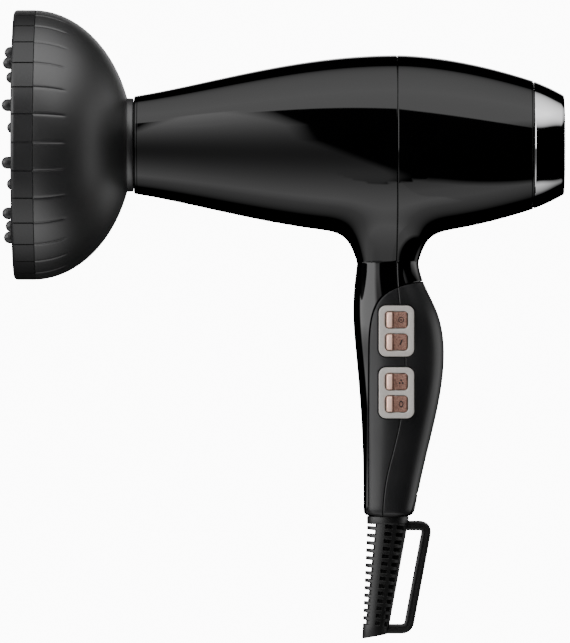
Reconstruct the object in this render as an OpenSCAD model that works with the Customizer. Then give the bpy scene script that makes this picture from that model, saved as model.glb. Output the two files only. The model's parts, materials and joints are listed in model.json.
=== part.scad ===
// Hair dryer with a push-on diffuser.
// Frame: +X towards the air intake, -X towards the outlet, +Z up, switches on the -Y side.
// Origin: the middle of the hand grip.

/* [Barrel] */
// Height of the barrel's axis above the middle of the grip
axis_z = 112.5; // [110:0.5:116]
// Radius of the barrel where it is widest, at the parting plane
barrel_r = 44.9; // [43:0.1:46]
// Radius of the barrel's front rim
nozzle_r = 24.5; // [24.2:0.1:25]
// Length of the front housing, from the rim to the parting plane
front_len = 131.5; // [130:0.5:136]
// Length of the rear housing, from the parting plane to the polished ring
rear_len = 68; // [66:0.5:70]
// Radius where the rear housing meets the polished ring
seam_r = 32.1; // [31.8:0.1:33]
// Length of the polished ring
ring_len = 15.5; // [15:0.5:18]
// Radius of the polished ring's rear rim
ring_end_r = 24.8; // [24.5:0.1:26]
// Wall of the housings
wall = 2; // [1.8:0.1:2.2]

/* [Handle] */
// Bottom face of the handle
handle_bottom = -73; // [-76:0.5:-72]
// Thickness of the soft grip skin
grip_skin = 1.2; // [1:0.1:1.4]
// Fullness of the handle's oval section; 2 is an ellipse
oval_power = 2.4; // [2:0.1:2.8]

/* [Switches] */
// Width of a switch bezel
bezel_w = 17.6; // [17:0.1:18]
// Height of a switch bezel
bezel_h = 25.4; // [25:0.1:26]
// Height of the upper bezel's middle
upper_bezel_z = 19.5; // [19:0.1:20]
// Height of the lower bezel's middle
lower_bezel_z = -11.3; // [-12:0.1:-10.5]
// Width of a rocker
rocker_w = 11; // [10:0.1:11.2]
// Height of a rocker
rocker_h = 8.2; // [7.6:0.1:8.4]
// Full swing of a rocker, in degrees
rocker_swing = 14; // [8:1:14]

/* [Diffuser] */
// Radius of the diffuser's rim
diffuser_r = 67.5; // [64:0.5:70]
// Depth of the diffuser from the rim's front to the barrel
diffuser_len = 60; // [58:1:64]
// Length of the rim band in front of the seam
rim_len = 11; // [10:0.5:13]
// Number of long fingers
finger_count = 10; // [8:1:12]
// Distance of the long fingers from the axis
finger_ring_r = 46.5; // [45:0.5:48]
// Radius of a finger
finger_r = 3.1; // [2.6:0.1:3.4]
// How far the long fingers stand beyond the rim
finger_reach = 5; // [3:0.5:7]
// Number of grooves round the rim
groove_count = 30; // [24:1:36]

/* [Strain relief] */
// Radius of the cord that the relief takes
cord_r = 3.65; // [3.3:0.05:3.8]
// Length of the ribbed sleeve
relief_len = 58.5; // [56:0.5:60]
// Lean of the sleeve towards the front, in degrees
relief_lean = 6.4; // [4:0.2:8]
// Number of slots along the sleeve
slot_count = 13; // [10:1:14]

/* [Hidden] */

// Stations along X
parting_x = -1.5;
front_x = parting_x - front_len;
seam_x = parting_x + rear_len;
rear_x = seam_x + ring_len;
rim_round = 1.2;

// Gaps: between pieces that move on each other, between pieces that are only assembled, and round a pin
run_gap = 0.3;
fit_gap = 0.15;
pin_gap = 0.08;
// Reach of a cutting shape past everything, and a step too small to matter
big = 200;
tiny = 0.01;

// Handle stations from the bottom up: height, front edge, rear edge, half the width
stations = [
    [handle_bottom, -18.3, 6.8, 14.5],
    [-46, -18.5, 12.5, 16],
    [-21, -19.6, 18.4, 17.7],
    [6, -21.8, 22, 18.3],
    [30, -23.5, 18.2, 17.9],
    [46, -22.6, 11.2, 17],
    [55, -22.4, 9.2, 16.8],
    [62, -26, 11, 18.5],
    [68, -33, 18, 22],
    [74, -44, 30, 27]
];
handle_top = 74;
bottom_round = 3;
sides = 40;

// Where the two housings meet down the handle: [x, z]
parting_line = [[parting_x, 52], [-0.5, 34], [2.4, 6], [0, -25], [-4, -42.5], [-6.8, -54], [-8.6, handle_bottom]];

// Collar inside the rear housing that the polished ring pushes onto
seat_inner_r = 26.4;
seat_outer_r = 28;
seat_len = 4;

// Screws that close the handle, from the rear
screw_heights = [38, -40];
screw_r = 1.5;
screw_head_r = 2.9;
boss_r = 4.6;
screw_tip = -14;
screw_seat = 4;

// Spigot and diffuser neck
spigot_r = 20.5;
spigot_wall = 1.5;
spigot_len = 8;
spigot_chamfer = 0.6;
flange_len = 17;
flange_step = 4;
neck_r = 23.4;
neck_len = 3;
diffuser_wall = 2;
pull_gap = 0.3;
diffuser_back = front_x - pull_gap;
rim_front = diffuser_back - diffuser_len + pull_gap;
rim_seam = rim_front + rim_len;
dome_centre = rim_seam - 1.5;
dome_len = (diffuser_back - neck_len - dome_centre) / sin(acos(neck_r / diffuser_r));
dish_depth = 12;
short_count = 5;
short_ring_r = 20;
// Rings of holes in the plate: how many, how far from the axis
hole_rings = [[6, 10], [12, 30], [20, 38], [30, 56]];
clip_width = 2.2;
clip_x = diffuser_back - 5;

// Motor and fan
motor_r = 15;
motor_front = -18;
motor_back = 18;
shroud_r = 36;
shroud_wall = 1.5;
shroud_front = -22;
shaft_r = 1.5;
bush_r = 4;
fan_front = 22;
fan_back = 34;
fan_r = 33.5;
blade_count = 9;

// Heater
sleeve_r = 21.5;
sleeve_thick = 0.8;
sleeve_front = -115;
sleeve_back = -50;
former_r = 16.1;
former_len = 54;
former_thick = 0.8;
coil_r = 17;
wire_r = 0.8;
heater_turns = 10;
coil_pitch = 4.4;
first_coil = 11;

// Safety parts and ioniser, placed from the barrel's axis: [along X, along Y, along Z]
thermostat_size = [6, 7, 7];
thermostat_place = [-62, 3, 3];
fuse_r = 1.6;
fuse_len = 12;
fuse_place = [-70, -5, -5];
ioniser_size = [30, 14, 8];
ioniser_place = [-82, -7, -31];
needle_r = 0.7;
needle_len = 15.2;
needle_place = [front_x + 2.4, 0, -15];

// Switch stack, measured along Y from the bezel's outer face
bezel_face = -18.9;
bezel_depth = 1.5;
bezel_round = 3.6;
bezel_ledge = 1;
window_back = -8;
pocket_gap = 0.2;
bezel_x = -2;
row_pitch = 11.1;
pin_y = -16.2;
pin_r = 0.6;
rocker_window_w = rocker_w + 1;
rocker_window_h = rocker_h + 0.5;
window_round = 0.3;
rocker_back = 1.6;
lip_round = 1.2;
lip_front = -3.8;
pad_front = -3;
switch_w = 14;
switch_front = -13.6;
ear = 1.6;
board_y = -1;
board_w = 20;
board_h = 64;
board_thick = 1.6;

// Parts on and under the board: [along X, along Y, along Z]
capacitor_size = [12, 7, 14];
terminal_size = [13, 10, 9];
terminal_z = -56;
clamp_size = [14, 12, 4];
clamp_z = -63;

// Strain relief: the sleeve starts inside its collar and leans from there
relief_x = -6.1;
collar_r = 10.45;
collar_len = 4;
relief_root = handle_bottom - 2;
relief_end_r = 6.25;
relief_neck_r = 6.5;
inlet_r = 4.6;
relief_flange_r = 8.2;
relief_flange = 2;
first_slot = 5.4;
slot_pitch = 3.65;
slot_width = 1.5;
core_wall = 1.1;
bottom_wall = 3.2;
loop_bar = 4.9;
loop_len = 56.6;

// Barrel radius at a station: an eased swell in front, a deepening fall behind, a cone for the ring
function barrel_rad(x) =
    x < parting_x ? nozzle_r + (barrel_r - nozzle_r) * pow(sin(90 * (x - front_x) / front_len), 1.3)
    : x < seam_x ? barrel_r - (barrel_r - seam_r) * pow((x - parting_x) / rear_len, 1.75)
    : seam_r - (seam_r - ring_end_r) * (x - seam_x) / ring_len;

// Points [radius, x] of a stretch of the barrel, at an inset from its surface
function barrel_points(from, to, steps, inset) =
    [for (i = [0 : steps]) let (x = from + (to - from) * i / steps) [barrel_rad(x) - inset, x]];

// Smooth curve through column c of the stations at height z
function stretch(z, i = 0) = i >= len(stations) - 2 || z <= stations[i + 1][0] ? i : stretch(z, i + 1);
function slope(i, c) =
    let (a = max(i - 1, 0), b = min(i + 1, len(stations) - 1))
    (stations[b][c] - stations[a][c]) / (stations[b][0] - stations[a][0]);
function along(z, c) =
    let (
        i = stretch(z),
        span = stations[i + 1][0] - stations[i][0],
        t = (z - stations[i][0]) / span
    )
    (2 * pow(t, 3) - 3 * pow(t, 2) + 1) * stations[i][c]
    + (pow(t, 3) - 2 * pow(t, 2) + t) * span * slope(i, c)
    + (3 * pow(t, 2) - 2 * pow(t, 3)) * stations[i + 1][c]
    + (pow(t, 3) - pow(t, 2)) * span * slope(i + 1, c);

// Extra inset that rounds the handle's bottom edge
function bottom_inset(z, base) =
    let (d = bottom_round - (z - base))
    d <= 0 ? 0 : bottom_round - sqrt(max(pow(bottom_round, 2) - pow(d, 2), 0));

function signed_power(v, p) = sign(v) * pow(abs(v), p);

// One oval ring of the handle at height z
function handle_ring(z, inset, base) =
    let (
        extra = inset + bottom_inset(z, base),
        front = along(z, 1) + extra,
        rear = along(z, 2) - extra,
        half = along(z, 3) - extra
    )
    [for (k = [0 : sides - 1]) let (a = 360 * k / sides)
        [
            (front + rear) / 2 + (rear - front) / 2 * signed_power(cos(a), 2 / oval_power),
            half * signed_power(sin(a), 2 / oval_power),
            z
        ]];

// Solid skin through rings that all have the same number of points
module skin(rings) {
    n = len(rings[0]);
    m = len(rings);
    bottom = [[for (k = [0 : n - 1]) k]];
    top = [[for (k = [n - 1 : -1 : 0]) (m - 1) * n + k]];
    walls = [for (j = [0 : m - 2]) for (k = [0 : n - 1]) for (half = [0, 1])
        let (a = j * n + k, b = j * n + (k + 1) % n)
        half == 0 ? [a, a + n, b] : [b, a + n, b + n]];
    polyhedron([for (ring = rings) each ring], concat(bottom, top, walls));
}

// The handle's volume at an inset from its surface
module handle_volume(inset) {
    base = handle_bottom + inset;
    round_steps = [for (i = [0 : 3]) base + bottom_round * (1 - cos(90 * i / 4))];
    rise = [for (i = [0 : 23]) base + bottom_round + (handle_top - base - bottom_round) * i / 23];
    skin([for (z = concat(round_steps, rise)) handle_ring(z, inset, base)]);
}

// Turned shape about the barrel's axis from points [radius, x]
module turned(points, fn = 96) {
    translate([0, 0, axis_z])
        rotate([0, 90, 0])
            rotate_extrude($fn = fn)
                polygon(points);
}

// Tube about the barrel's axis
module tube(inner, outer, from, to, fn = 96) {
    turned([[inner, from], [outer, from], [outer, to], [inner, to]], fn);
}

// Round rod along X at a place off the barrel's axis
module rod_x(r, from, to, y, z, fn = 24) {
    translate([from, y, z])
        rotate([0, 90, 0])
            cylinder(r = r, h = to - from, $fn = fn);
}

// Prism along Y from an outline [x, z]
module prism_y(outline, from, to) {
    translate([0, to, 0])
        rotate([90, 0, 0])
            linear_extrude(height = to - from)
                polygon(outline);
}

// Points of an arc about [cx, cz]
function arc(cx, cz, r, from, to, steps) =
    [for (i = [0 : steps]) let (a = from + (to - from) * i / steps) [cx + r * cos(a), cz + r * sin(a)]];

// Rectangle [x, z] with round corners
function round_box(cx, cz, w, h, r) =
    [for (q = [0 : 3]) each arc(
        cx + (q == 0 || q == 3 ? 1 : -1) * (w / 2 - r),
        cz + (q < 2 ? 1 : -1) * (h / 2 - r),
        r, 90 * q, 90 * q + 90, 5)];

// Everything in front of the parting surface, which follows the bow of the handle
module front_half() {
    foot = parting_line[len(parting_line) - 1];
    prism_y(concat(
        [[-big, big + axis_z], [parting_x, big + axis_z]],
        parting_line,
        [[foot[0], -big], [-big, -big]]
    ), -big, big);
}

// The part of the handle that the soft grip covers; a hard heel stays bare at the rear of its foot
module grip_zone() {
    foot = handle_bottom + bottom_round;
    prism_y([
        [40, 46], [11.5, 44.5], [-0.5, 42.5], [-6, 39], [-11, 32.5], [-15, 27],
        [-16.4, foot], [4.8, foot], [9.6, foot + 13], [40, foot + 13]
    ], -big, big);
}

// Outer body of barrel and handle, with the recess that takes the grip
module casing_outer() {
    turned(concat(
        [[0, front_x]],
        arc(nozzle_r - rim_round, front_x + rim_round, rim_round, 270, 360, 4),
        barrel_points(front_x + 2 * rim_round, parting_x, 22, 0),
        barrel_points(parting_x, seam_x - tiny, 12, 0),
        [[0, seam_x - tiny]]
    ));
    difference() {
        handle_volume(0);
        difference() {
            grip_zone();
            handle_volume(grip_skin);
        }
    }
}

// Hollow inside barrel and handle
module casing_inner() {
    turned(concat(
        [[0, front_x - 1], [nozzle_r - wall, front_x - 1]],
        barrel_points(front_x, parting_x, 22, wall),
        barrel_points(parting_x, seam_x - 3, 12, wall),
        [[seat_inner_r, seam_x + 1], [0, seam_x + 1]]
    ));
    handle_volume(grip_skin + wall);
}

// Recess of a bezel and the window behind it, through the handle's side
module bezel_pocket(z) {
    gap = pocket_gap;
    prism_y(round_box(bezel_x, z, bezel_w + 2 * gap, bezel_h + 2 * gap, bezel_round + gap),
        -big, bezel_face + bezel_depth);
    prism_y(round_box(bezel_x, z, bezel_w - 2 * bezel_ledge, bezel_h - 2 * bezel_ledge, bezel_round), -big, window_back);
}

// Hole for the strain relief's neck, with the room above it for its flange
module relief_hole() {
    translate([relief_x, 0, handle_bottom - 1])
        cylinder(r = relief_neck_r + fit_gap, h = bottom_wall + 4, $fn = 48);
    translate([relief_x, 0, handle_bottom + bottom_wall])
        cylinder(r = relief_flange_r + fit_gap, h = 4, $fn = 48);
}

// Screw holes through both housings, widened behind for the heads
module screw_passages() {
    for (z = screw_heights) {
        rod_x(screw_r + fit_gap, screw_tip - 4, screw_seat + tiny, 0, z);
        rod_x(screw_head_r + fit_gap, screw_seat, big, 0, z);
    }
}

// Bosses inside the handle that the screws draw together
module screw_bosses() {
    intersection() {
        for (z = screw_heights)
            rod_x(boss_r, -big, big, 0, z, 32);
        handle_volume(grip_skin + wall - 0.2);
    }
}

module casing() {
    difference() {
        union() {
            difference() {
                casing_outer();
                casing_inner();
            }
            screw_bosses();
        }
        bezel_pocket(upper_bezel_z);
        bezel_pocket(lower_bezel_z);
        relief_hole();
        screw_passages();
    }
}

module front_housing() {
    color("#141414")
        intersection() {
            casing();
            front_half();
        }
}

module rear_housing() {
    color("#141414") {
        difference() {
            casing();
            front_half();
        }
        tube(seat_inner_r, seat_outer_r, seam_x - 3, seam_x + seat_len);
    }
}

// The soft skin over the handle
module grip_skin_all() {
    difference() {
        intersection() {
            handle_volume(0);
            grip_zone();
        }
        handle_volume(grip_skin);
        bezel_pocket(upper_bezel_z);
        bezel_pocket(lower_bezel_z);
    }
}

module front_grip_pads() {
    color("#262626")
        intersection() {
            grip_skin_all();
            front_half();
        }
}

module rear_grip() {
    color("#262626")
        difference() {
            grip_skin_all();
            front_half();
        }
}

module bezel(z) {
    color("#a89f94")
        difference() {
            prism_y(round_box(bezel_x, z, bezel_w, bezel_h, bezel_round), bezel_face, bezel_face + bezel_depth);
            for (side = [-1, 1])
                prism_y(round_box(bezel_x, z + side * row_pitch / 2, rocker_window_w, rocker_window_h, window_round),
                    -big, big);
        }
}

module upper_bezel() bezel(upper_bezel_z);

module lower_bezel() bezel(lower_bezel_z);

// Rocker outline across its pin, level: a raised lip in front and a dished pad behind
function rocker_outline() = concat(
    [[rocker_w / 2, rocker_back], [-rocker_w / 2, rocker_back]],
    arc(-rocker_w / 2 + lip_round, lip_front + lip_round, lip_round, 180, 270, 5),
    [[-rocker_w / 2 + 3, lip_front]],
    arc(1.3, pad_front - 6, 6.1, 118, 56, 6),
    [[rocker_w / 2, pad_front]]
);

// A rocker at rest, with its rear end pressed in
module rocker(z) {
    color("#c08a78")
        translate([bezel_x, pin_y, z])
            rotate([0, 0, rocker_swing / 2])
                difference() {
                    translate([0, 0, -rocker_h / 2])
                        linear_extrude(height = rocker_h)
                            polygon(rocker_outline());
                    cylinder(r = pin_r + pin_gap, h = big, center = true, $fn = 32);
                }
}

module ion_rocker() rocker(upper_bezel_z + row_pitch / 2);

module boost_rocker() rocker(upper_bezel_z - row_pitch / 2);

module speed_rocker() rocker(lower_bezel_z + row_pitch / 2);

module heat_rocker() rocker(lower_bezel_z - row_pitch / 2);

module rocker_pin(z) {
    color("#9a9a9a")
        translate([bezel_x, pin_y, z])
            cylinder(r = pin_r, h = bezel_h - 2 * ear - 0.2, center = true, $fn = 32);
}

module upper_rocker_pin() rocker_pin(upper_bezel_z);

module lower_rocker_pin() rocker_pin(lower_bezel_z);

// Switch body with three ears that carry the pin
module switch_body(z) {
    body_h = bezel_h - 2.8;
    ear_w = 4;
    ear_front = pin_y - 1.1;
    color("#d8d2c4")
        difference() {
            union() {
                translate([bezel_x - switch_w / 2, switch_front, z - body_h / 2])
                    cube([switch_w, board_y - switch_front, body_h]);
                for (side = [-1, 0, 1])
                    translate([bezel_x - ear_w / 2, ear_front, z + side * (body_h - ear) / 2 - ear / 2])
                        cube([ear_w, switch_front - ear_front + 0.1, ear]);
            }
            translate([bezel_x, pin_y, z])
                cylinder(r = pin_r + tiny, h = big, center = true, $fn = 32);
        }
}

module upper_switch() switch_body(upper_bezel_z);

module lower_switch() switch_body(lower_bezel_z);

module control_board() {
    color("#2d5a36")
        translate([bezel_x - board_w / 2, board_y, -board_h / 2])
            cube([board_w, board_thick, board_h]);
}

module capacitor() {
    color("#c9b458")
        translate([bezel_x - capacitor_size[0] / 2, board_y + board_thick, 4])
            cube(capacitor_size);
}

// Block with a way for each of the two conductors
module terminal_block() {
    way_r = 1.5;
    way_y = 2.4;
    color("#e8e6df")
        difference() {
            translate([relief_x - terminal_size[0] / 2, -terminal_size[1] / 2, terminal_z])
                cube(terminal_size);
            for (side = [-1, 1])
                translate([relief_x, side * way_y, terminal_z - 1])
                    cylinder(r = way_r, h = terminal_size[2] + 2, $fn = 24);
        }
}

module cord_clamp() {
    color("#d0d0d0")
        difference() {
            translate([relief_x - clamp_size[0] / 2, -clamp_size[1] / 2, clamp_z])
                cube(clamp_size);
            translate([relief_x, 0, clamp_z - 1])
                cylinder(r = cord_r, h = clamp_size[2] + 2, $fn = 32);
        }
}

module housing_screws() {
    color("#b8b8b8")
        for (z = screw_heights) {
            rod_x(screw_r, screw_tip, screw_seat + 0.5, 0, z);
            rod_x(screw_head_r, screw_seat + 0.5, screw_seat + 2.5, 0, z);
        }
}

// Wire routes from the terminal block: heights and places are the harness's own
wire_routes = [
    [[-9, 4, -46], [-11, 8, -39], [-13, 8, -20], [-13, 8, 0], [-13, 9, 24], [-13, 9, 40], [-16, 8, 56], [-22, 8, 72]],
    [[-3, 4, -46], [2, 8, -39], [8, 9, -20], [12, 9, 0], [11, 9, 24], [3, 9, 40], [-6, 9, 54], [-14, 9, 72]]
];
lead_r = 1.1;

function unit(v) = v / norm(v);

// Ring of points about p, across direction d
function lead_ring(p, d) =
    let (u = unit(cross(d, [0, 1, 0])), v = cross(u, d))
    [for (k = [0 : 7]) p + lead_r * (cos(45 * k) * u + sin(45 * k) * v)];

module lead(route) {
    last = len(route) - 1;
    skin([for (i = [0 : last])
        lead_ring(route[i], unit(route[min(i + 1, last)] - route[max(i - 1, 0)]))]);
}

module wiring() {
    color("#b03a2e")
        for (route = wire_routes)
            lead(route);
}

// Ribbed sleeve; its own frame has Z along the cord, from the collar down. The slots lie in turn
// across X and across Y, and stop at a core wall round the cord
module relief_sleeve() {
    difference() {
        translate([0, 0, -relief_len])
            cylinder(r1 = relief_end_r, r2 = collar_r - 0.2, h = relief_len, $fn = 64);
        for (i = [0 : slot_count - 1])
            let (
                z = -first_slot - i * slot_pitch,
                r = relief_end_r + (collar_r - relief_end_r) * (relief_len + z) / relief_len,
                deep = r - cord_r - core_wall
            )
            for (side = [-1, 1])
                rotate([0, 0, i % 2 == 0 ? 0 : 90])
                    translate([side * (r - deep / 2 + 1), 0, z])
                        cube([deep + 2, 1.5 * r, slot_width], center = true);
    }
}

// Collar, neck and flange in the handle's foot, with the sleeve and its loop below; the bore is a
// close fit on the cord in the sleeve and wider in the neck
module strain_relief() {
    above = 12;
    color("#181818")
        difference() {
            union() {
                translate([relief_x, 0, handle_bottom - collar_len])
                    cylinder(r = collar_r, h = collar_len - fit_gap, $fn = 64);
                translate([relief_x, 0, handle_bottom - 1])
                    cylinder(r = relief_neck_r, h = bottom_wall + 1 + 2 * fit_gap, $fn = 48);
                translate([relief_x, 0, handle_bottom + bottom_wall + fit_gap])
                    cylinder(r = relief_flange_r, h = relief_flange, $fn = 48);
                translate([relief_x, 0, relief_root])
                    rotate([0, relief_lean, 0])
                        relief_sleeve();
                relief_loop();
            }
            translate([relief_x, 0, relief_root])
                rotate([0, relief_lean, 0]) {
                    translate([0, 0, -relief_len - 1])
                        cylinder(r = cord_r, h = relief_len + 2, $fn = 48);
                    cylinder(r = inlet_r, h = above, $fn = 48);
                }
        }
}

// Outline [x, z] whose corners [x, z, cut] are rounded with a parabola over the length cut
function rounded(corners) =
    [for (i = [0 : len(corners) - 1])
        let (
            n = len(corners),
            flat = function (c) [c[0], c[1]],
            p = flat(corners[i]),
            a = p + corners[i][2] * unit(flat(corners[(i + n - 1) % n]) - p),
            b = p + corners[i][2] * unit(flat(corners[(i + 1) % n]) - p)
        )
        each corners[i][2] == 0 ? [p]
            : [for (t = [0 : 0.25 : 1]) (1 - t) * (1 - t) * a + 2 * t * (1 - t) * p + t * t * b]];

// Hanging loop beside the sleeve: a bar from the collar round to the sleeve's end
module relief_loop() {
    top = relief_root - 0.2;
    bottom = top - loop_len;
    prism_y(rounded([
        [-2, top, 0], [16.7, top, 6], [5.9, bottom, 5], [-9, bottom, 0],
        [-9, bottom + loop_bar, 0], [2.2, bottom + loop_bar, 2], [10.9, top - loop_bar, 2],
        [-2, top - loop_bar, 0]
    ]), -loop_bar / 2, loop_bar / 2);
}

// Spigot for the diffuser, with a flange inside the barrel's mouth
module outlet_nozzle() {
    tip = front_x - spigot_len;
    mouth = front_x + rim_round / 2;
    inner = spigot_r - spigot_wall;
    flange_r = nozzle_r - wall - fit_gap;
    color("#1c1c1c")
        turned([
            [inner, tip], [spigot_r - spigot_chamfer, tip],
            [spigot_r, tip + spigot_chamfer], [spigot_r, mouth],
            [flange_r, mouth], [flange_r, front_x + flange_len],
            [flange_r - spigot_wall, front_x + flange_len], [flange_r - spigot_wall, front_x + flange_step],
            [inner, front_x + flange_step]
        ]);
}

// Rings joined by three crossing bars, open at the middle
module outlet_grille() {
    r = spigot_r - spigot_wall - fit_gap;
    rings = 4;
    bar = 0.9;
    depth = 2;
    color("#8a8a8a")
        difference() {
            union() {
                for (i = [1 : rings])
                    tube(r * i / rings - bar, r * i / rings, front_x, front_x + depth, 48);
                for (a = [0 : 60 : 120])
                    translate([front_x + depth / 2, 0, axis_z])
                        rotate([a, 0, 0])
                            cube([depth - 2 * tiny, 2 * r - bar, bar], center = true);
            }
            rod_x(1.2, front_x - 1, front_x + depth + 1, 0, axis_z, 24);
        }
}

module heater_sleeve() {
    color("#cbbf9a")
        tube(sleeve_r - sleeve_thick, sleeve_r, sleeve_front, sleeve_back, 64);
}

// Two crossed plates that carry the windings
module heater_former() {
    color("#d9cfae")
        for (a = [0, 90])
            translate([(sleeve_front + sleeve_back) / 2, 0, axis_z])
                rotate([a, 0, 0])
                    cube([former_len, former_thick, 2 * former_r], center = true);
}

// The windings, one ring for each turn
module heater_coils() {
    color("#8d5a3a")
        for (i = [0 : heater_turns - 1])
            translate([sleeve_front + first_coil + i * coil_pitch, 0, axis_z])
                rotate([0, 90, 0])
                    rotate_extrude($fn = 48)
                        translate([coil_r, 0])
                            circle(r = wire_r, $fn = 16);
}

module thermostat() {
    color("#5b5b60")
        translate([0, 0, axis_z])
            translate(thermostat_place)
                cube(thermostat_size);
}

module thermal_fuse() {
    color("#d8d8d8")
        rod_x(fuse_r, fuse_place[0], fuse_place[0] + fuse_len, fuse_place[1], axis_z + fuse_place[2]);
}

module ioniser_module() {
    color("#30343c")
        translate([0, 0, axis_z])
            translate(ioniser_place)
                cube(ioniser_size);
}

module ioniser_needle() {
    color("#c0c0c0")
        rod_x(needle_r, needle_place[0], needle_place[0] + needle_len, needle_place[1], axis_z + needle_place[2]);
}

// Funnel from the motor's shroud down to the heater
module air_duct() {
    narrow = sleeve_back + fit_gap;
    wide = shroud_front - fit_gap;
    throat = sleeve_r - sleeve_thick;
    collar = 3;
    bevel = 0.4;
    color("#3a3a3a")
        turned([
            [throat, narrow], [throat + shroud_wall, narrow],
            [shroud_r, wide - collar], [shroud_r, wide],
            [shroud_r - shroud_wall, wide], [shroud_r - shroud_wall, wide - collar - bevel]
        ]);
}

// Shroud round fan and motor, with the stator vanes that hold the motor
module motor_housing() {
    cup = motor_r + fit_gap;
    vanes = 7;
    vane_thick = 1.4;
    vane_len = 22;
    color("#4a4a4a") {
        tube(shroud_r - shroud_wall, shroud_r, shroud_front, fan_back + 4);
        difference() {
            union() {
                tube(cup, cup + shroud_wall, motor_front - 2, 8);
                for (i = [0 : vanes - 1])
                    translate([0, 0, axis_z])
                        rotate([360 * i / vanes, 0, 0])
                            translate([motor_front - 1, -vane_thick / 2, cup + 1])
                                cube([vane_len, vane_thick, shroud_r - shroud_wall - cup - 0.9]);
            }
            tube(0, cup, shroud_front, fan_back);
        }
    }
}

module motor_mount_rings() {
    color("#222222")
        for (x = [shroud_front + 2, fan_back - 4])
            tube(shroud_r + 0.05, min(barrel_rad(x), barrel_rad(x + 4)) - wall - 0.1, x, x + 4);
}

module motor_can() {
    color("#b5b5b5")
        turned([
            [bush_r, motor_front], [motor_r - 1, motor_front], [motor_r, motor_front + 1],
            [motor_r, motor_back], [bush_r, motor_back]
        ], 64);
}

module motor_bushes() {
    bush_len = 5;
    color("#b08d57")
        for (x = [motor_front, motor_back - bush_len])
            tube(shaft_r + pin_gap, bush_r - 0.05, x, x + bush_len, 32);
}

module motor_shaft() {
    color("#9f9f9f")
        rod_x(shaft_r, motor_front - 3, fan_back - 1, 0, axis_z, 32);
}

// A fan blade: a plate that twists from hub to tip
function blade_section(r, hub) =
    let (
        twist = 38 + 24 * (r - hub) / (fan_r - hub),
        half = 5.4 - 1.4 * (r - hub) / (fan_r - hub),
        thick = 0.7
    )
    [for (p = [[-half, -thick], [half, -thick], [half, thick], [-half, thick]])
        [
            (fan_front + fan_back) / 2 + p[0] * cos(twist) - p[1] * sin(twist),
            p[0] * sin(twist) + p[1] * cos(twist),
            r
        ]];

module fan() {
    hub = 9;
    color("#e6e6e6")
        translate([0, 0, axis_z]) {
            for (i = [0 : blade_count - 1])
                rotate([360 * i / blade_count, 0, 0])
                    skin([for (j = [0 : 5]) blade_section(hub - 1 + (fan_r - hub + 1) * j / 5, hub)]);
            translate([0, 0, -axis_z])
                turned([
                    [shaft_r + tiny, fan_front], [hub, fan_front], [hub, fan_back - 3],
                    [hub - 3, fan_back], [shaft_r + tiny, fan_back]
                ], 64);
        }
}

module rear_trim_ring() {
    lip = seat_outer_r + run_gap;
    rim = 1.2;
    color("#d9d9dc")
        turned(concat(
            [[lip, seam_x + run_gap]],
            barrel_points(seam_x + run_gap, rear_x, 3, 0),
            [[ring_end_r - rim, rear_x], [ring_end_r - rim, rear_x - 2.5],
                [lip - 2 * rim, seam_x + seat_len + 2], [lip, seam_x + seat_len + 2]]
        ));
}

// Domed plate with rings of round holes
module rear_grille() {
    r = ring_end_r - 1.3;
    hole_r = 1.6;
    ring_pitch = 4.7;
    color("#111111")
        difference() {
            turned([[0, rear_x - 4.2], [r, rear_x - 4.2], [r, rear_x - 2.6], [r - 3, rear_x - 1.6], [0, rear_x - 0.8]]);
            for (ring = [1 : 4])
                for (k = [0 : 6 * ring - 1])
                    let (a = 60 * k / ring)
                    rod_x(hole_r, rear_x - 6, rear_x + 1,
                        ring_pitch * ring * cos(a), axis_z + ring_pitch * ring * sin(a), 16);
        }
}

// Thin disc with parallel windows, behind the grille
module filter_mesh() {
    r = ring_end_r - 1.4;
    margin = 1.6;
    window = 3.2;
    window_pitch = 4.6;
    color("#7c7c7c")
        difference() {
            tube(0, r, rear_x - 5.2, rear_x - 4.4, 64);
            for (i = [-4 : 4])
                let (half = sqrt(pow(r - margin, 2) - pow(window_pitch * i, 2)))
                translate([rear_x - 6, -half, axis_z + window_pitch * i - window / 2])
                    cube([3, 2 * half, window]);
        }
}

// Dome points [radius, x]: a quarter ellipse that ends at the neck
function dome_points(inset) =
    let (a_end = acos((neck_r - inset) / (diffuser_r - inset)))
    [for (i = [0 : 16]) let (a = a_end * i / 16)
        [(diffuser_r - inset) * cos(a), dome_centre + (dome_len - inset) * sin(a)]];

module diffuser_bowl() {
    bore = spigot_r + run_gap;
    neck_front = front_x - spigot_len - 2;
    color("#2b2b2b")
        difference() {
            turned(concat(
                [[bore, diffuser_back], [neck_r, diffuser_back]],
                [for (i = [16 : -1 : 0]) if (dome_points(0)[i][1] > rim_seam) dome_points(0)[i]],
                [[diffuser_r, rim_seam + fit_gap], [diffuser_r - diffuser_wall, rim_seam + fit_gap]],
                [for (p = dome_points(diffuser_wall))
                    if (p[1] > rim_seam + 1 && p[0] > neck_r + 1.5) p],
                [[neck_r, neck_front + 1], [neck_r - 0.6, neck_front], [bore, neck_front]]
            ));
            tube(bore - 1, bore + 1.4, clip_x - clip_width / 2 - run_gap, clip_x + clip_width / 2 + run_gap);
        }
}

// A finger with a round tip, standing on the plate
module finger(distance, angle, base, tip) {
    translate([0, 0, axis_z])
        rotate([angle, 0, 0])
            translate([0, distance, 0])
                rotate([0, -90, 0])
                    translate([0, 0, -base])
                        rotate_extrude($fn = 24)
                            polygon(concat([[0, 0], [finger_r, 0]], arc(0, base - tip - finger_r, finger_r, 0, 90, 5)));
}

// Plate depth behind the rim's front at a distance from the axis: a shallow dish
function dish_x(r) = rim_front + dish_depth * (1 - pow(r / (diffuser_r - 4), 2)) + 1;

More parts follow.
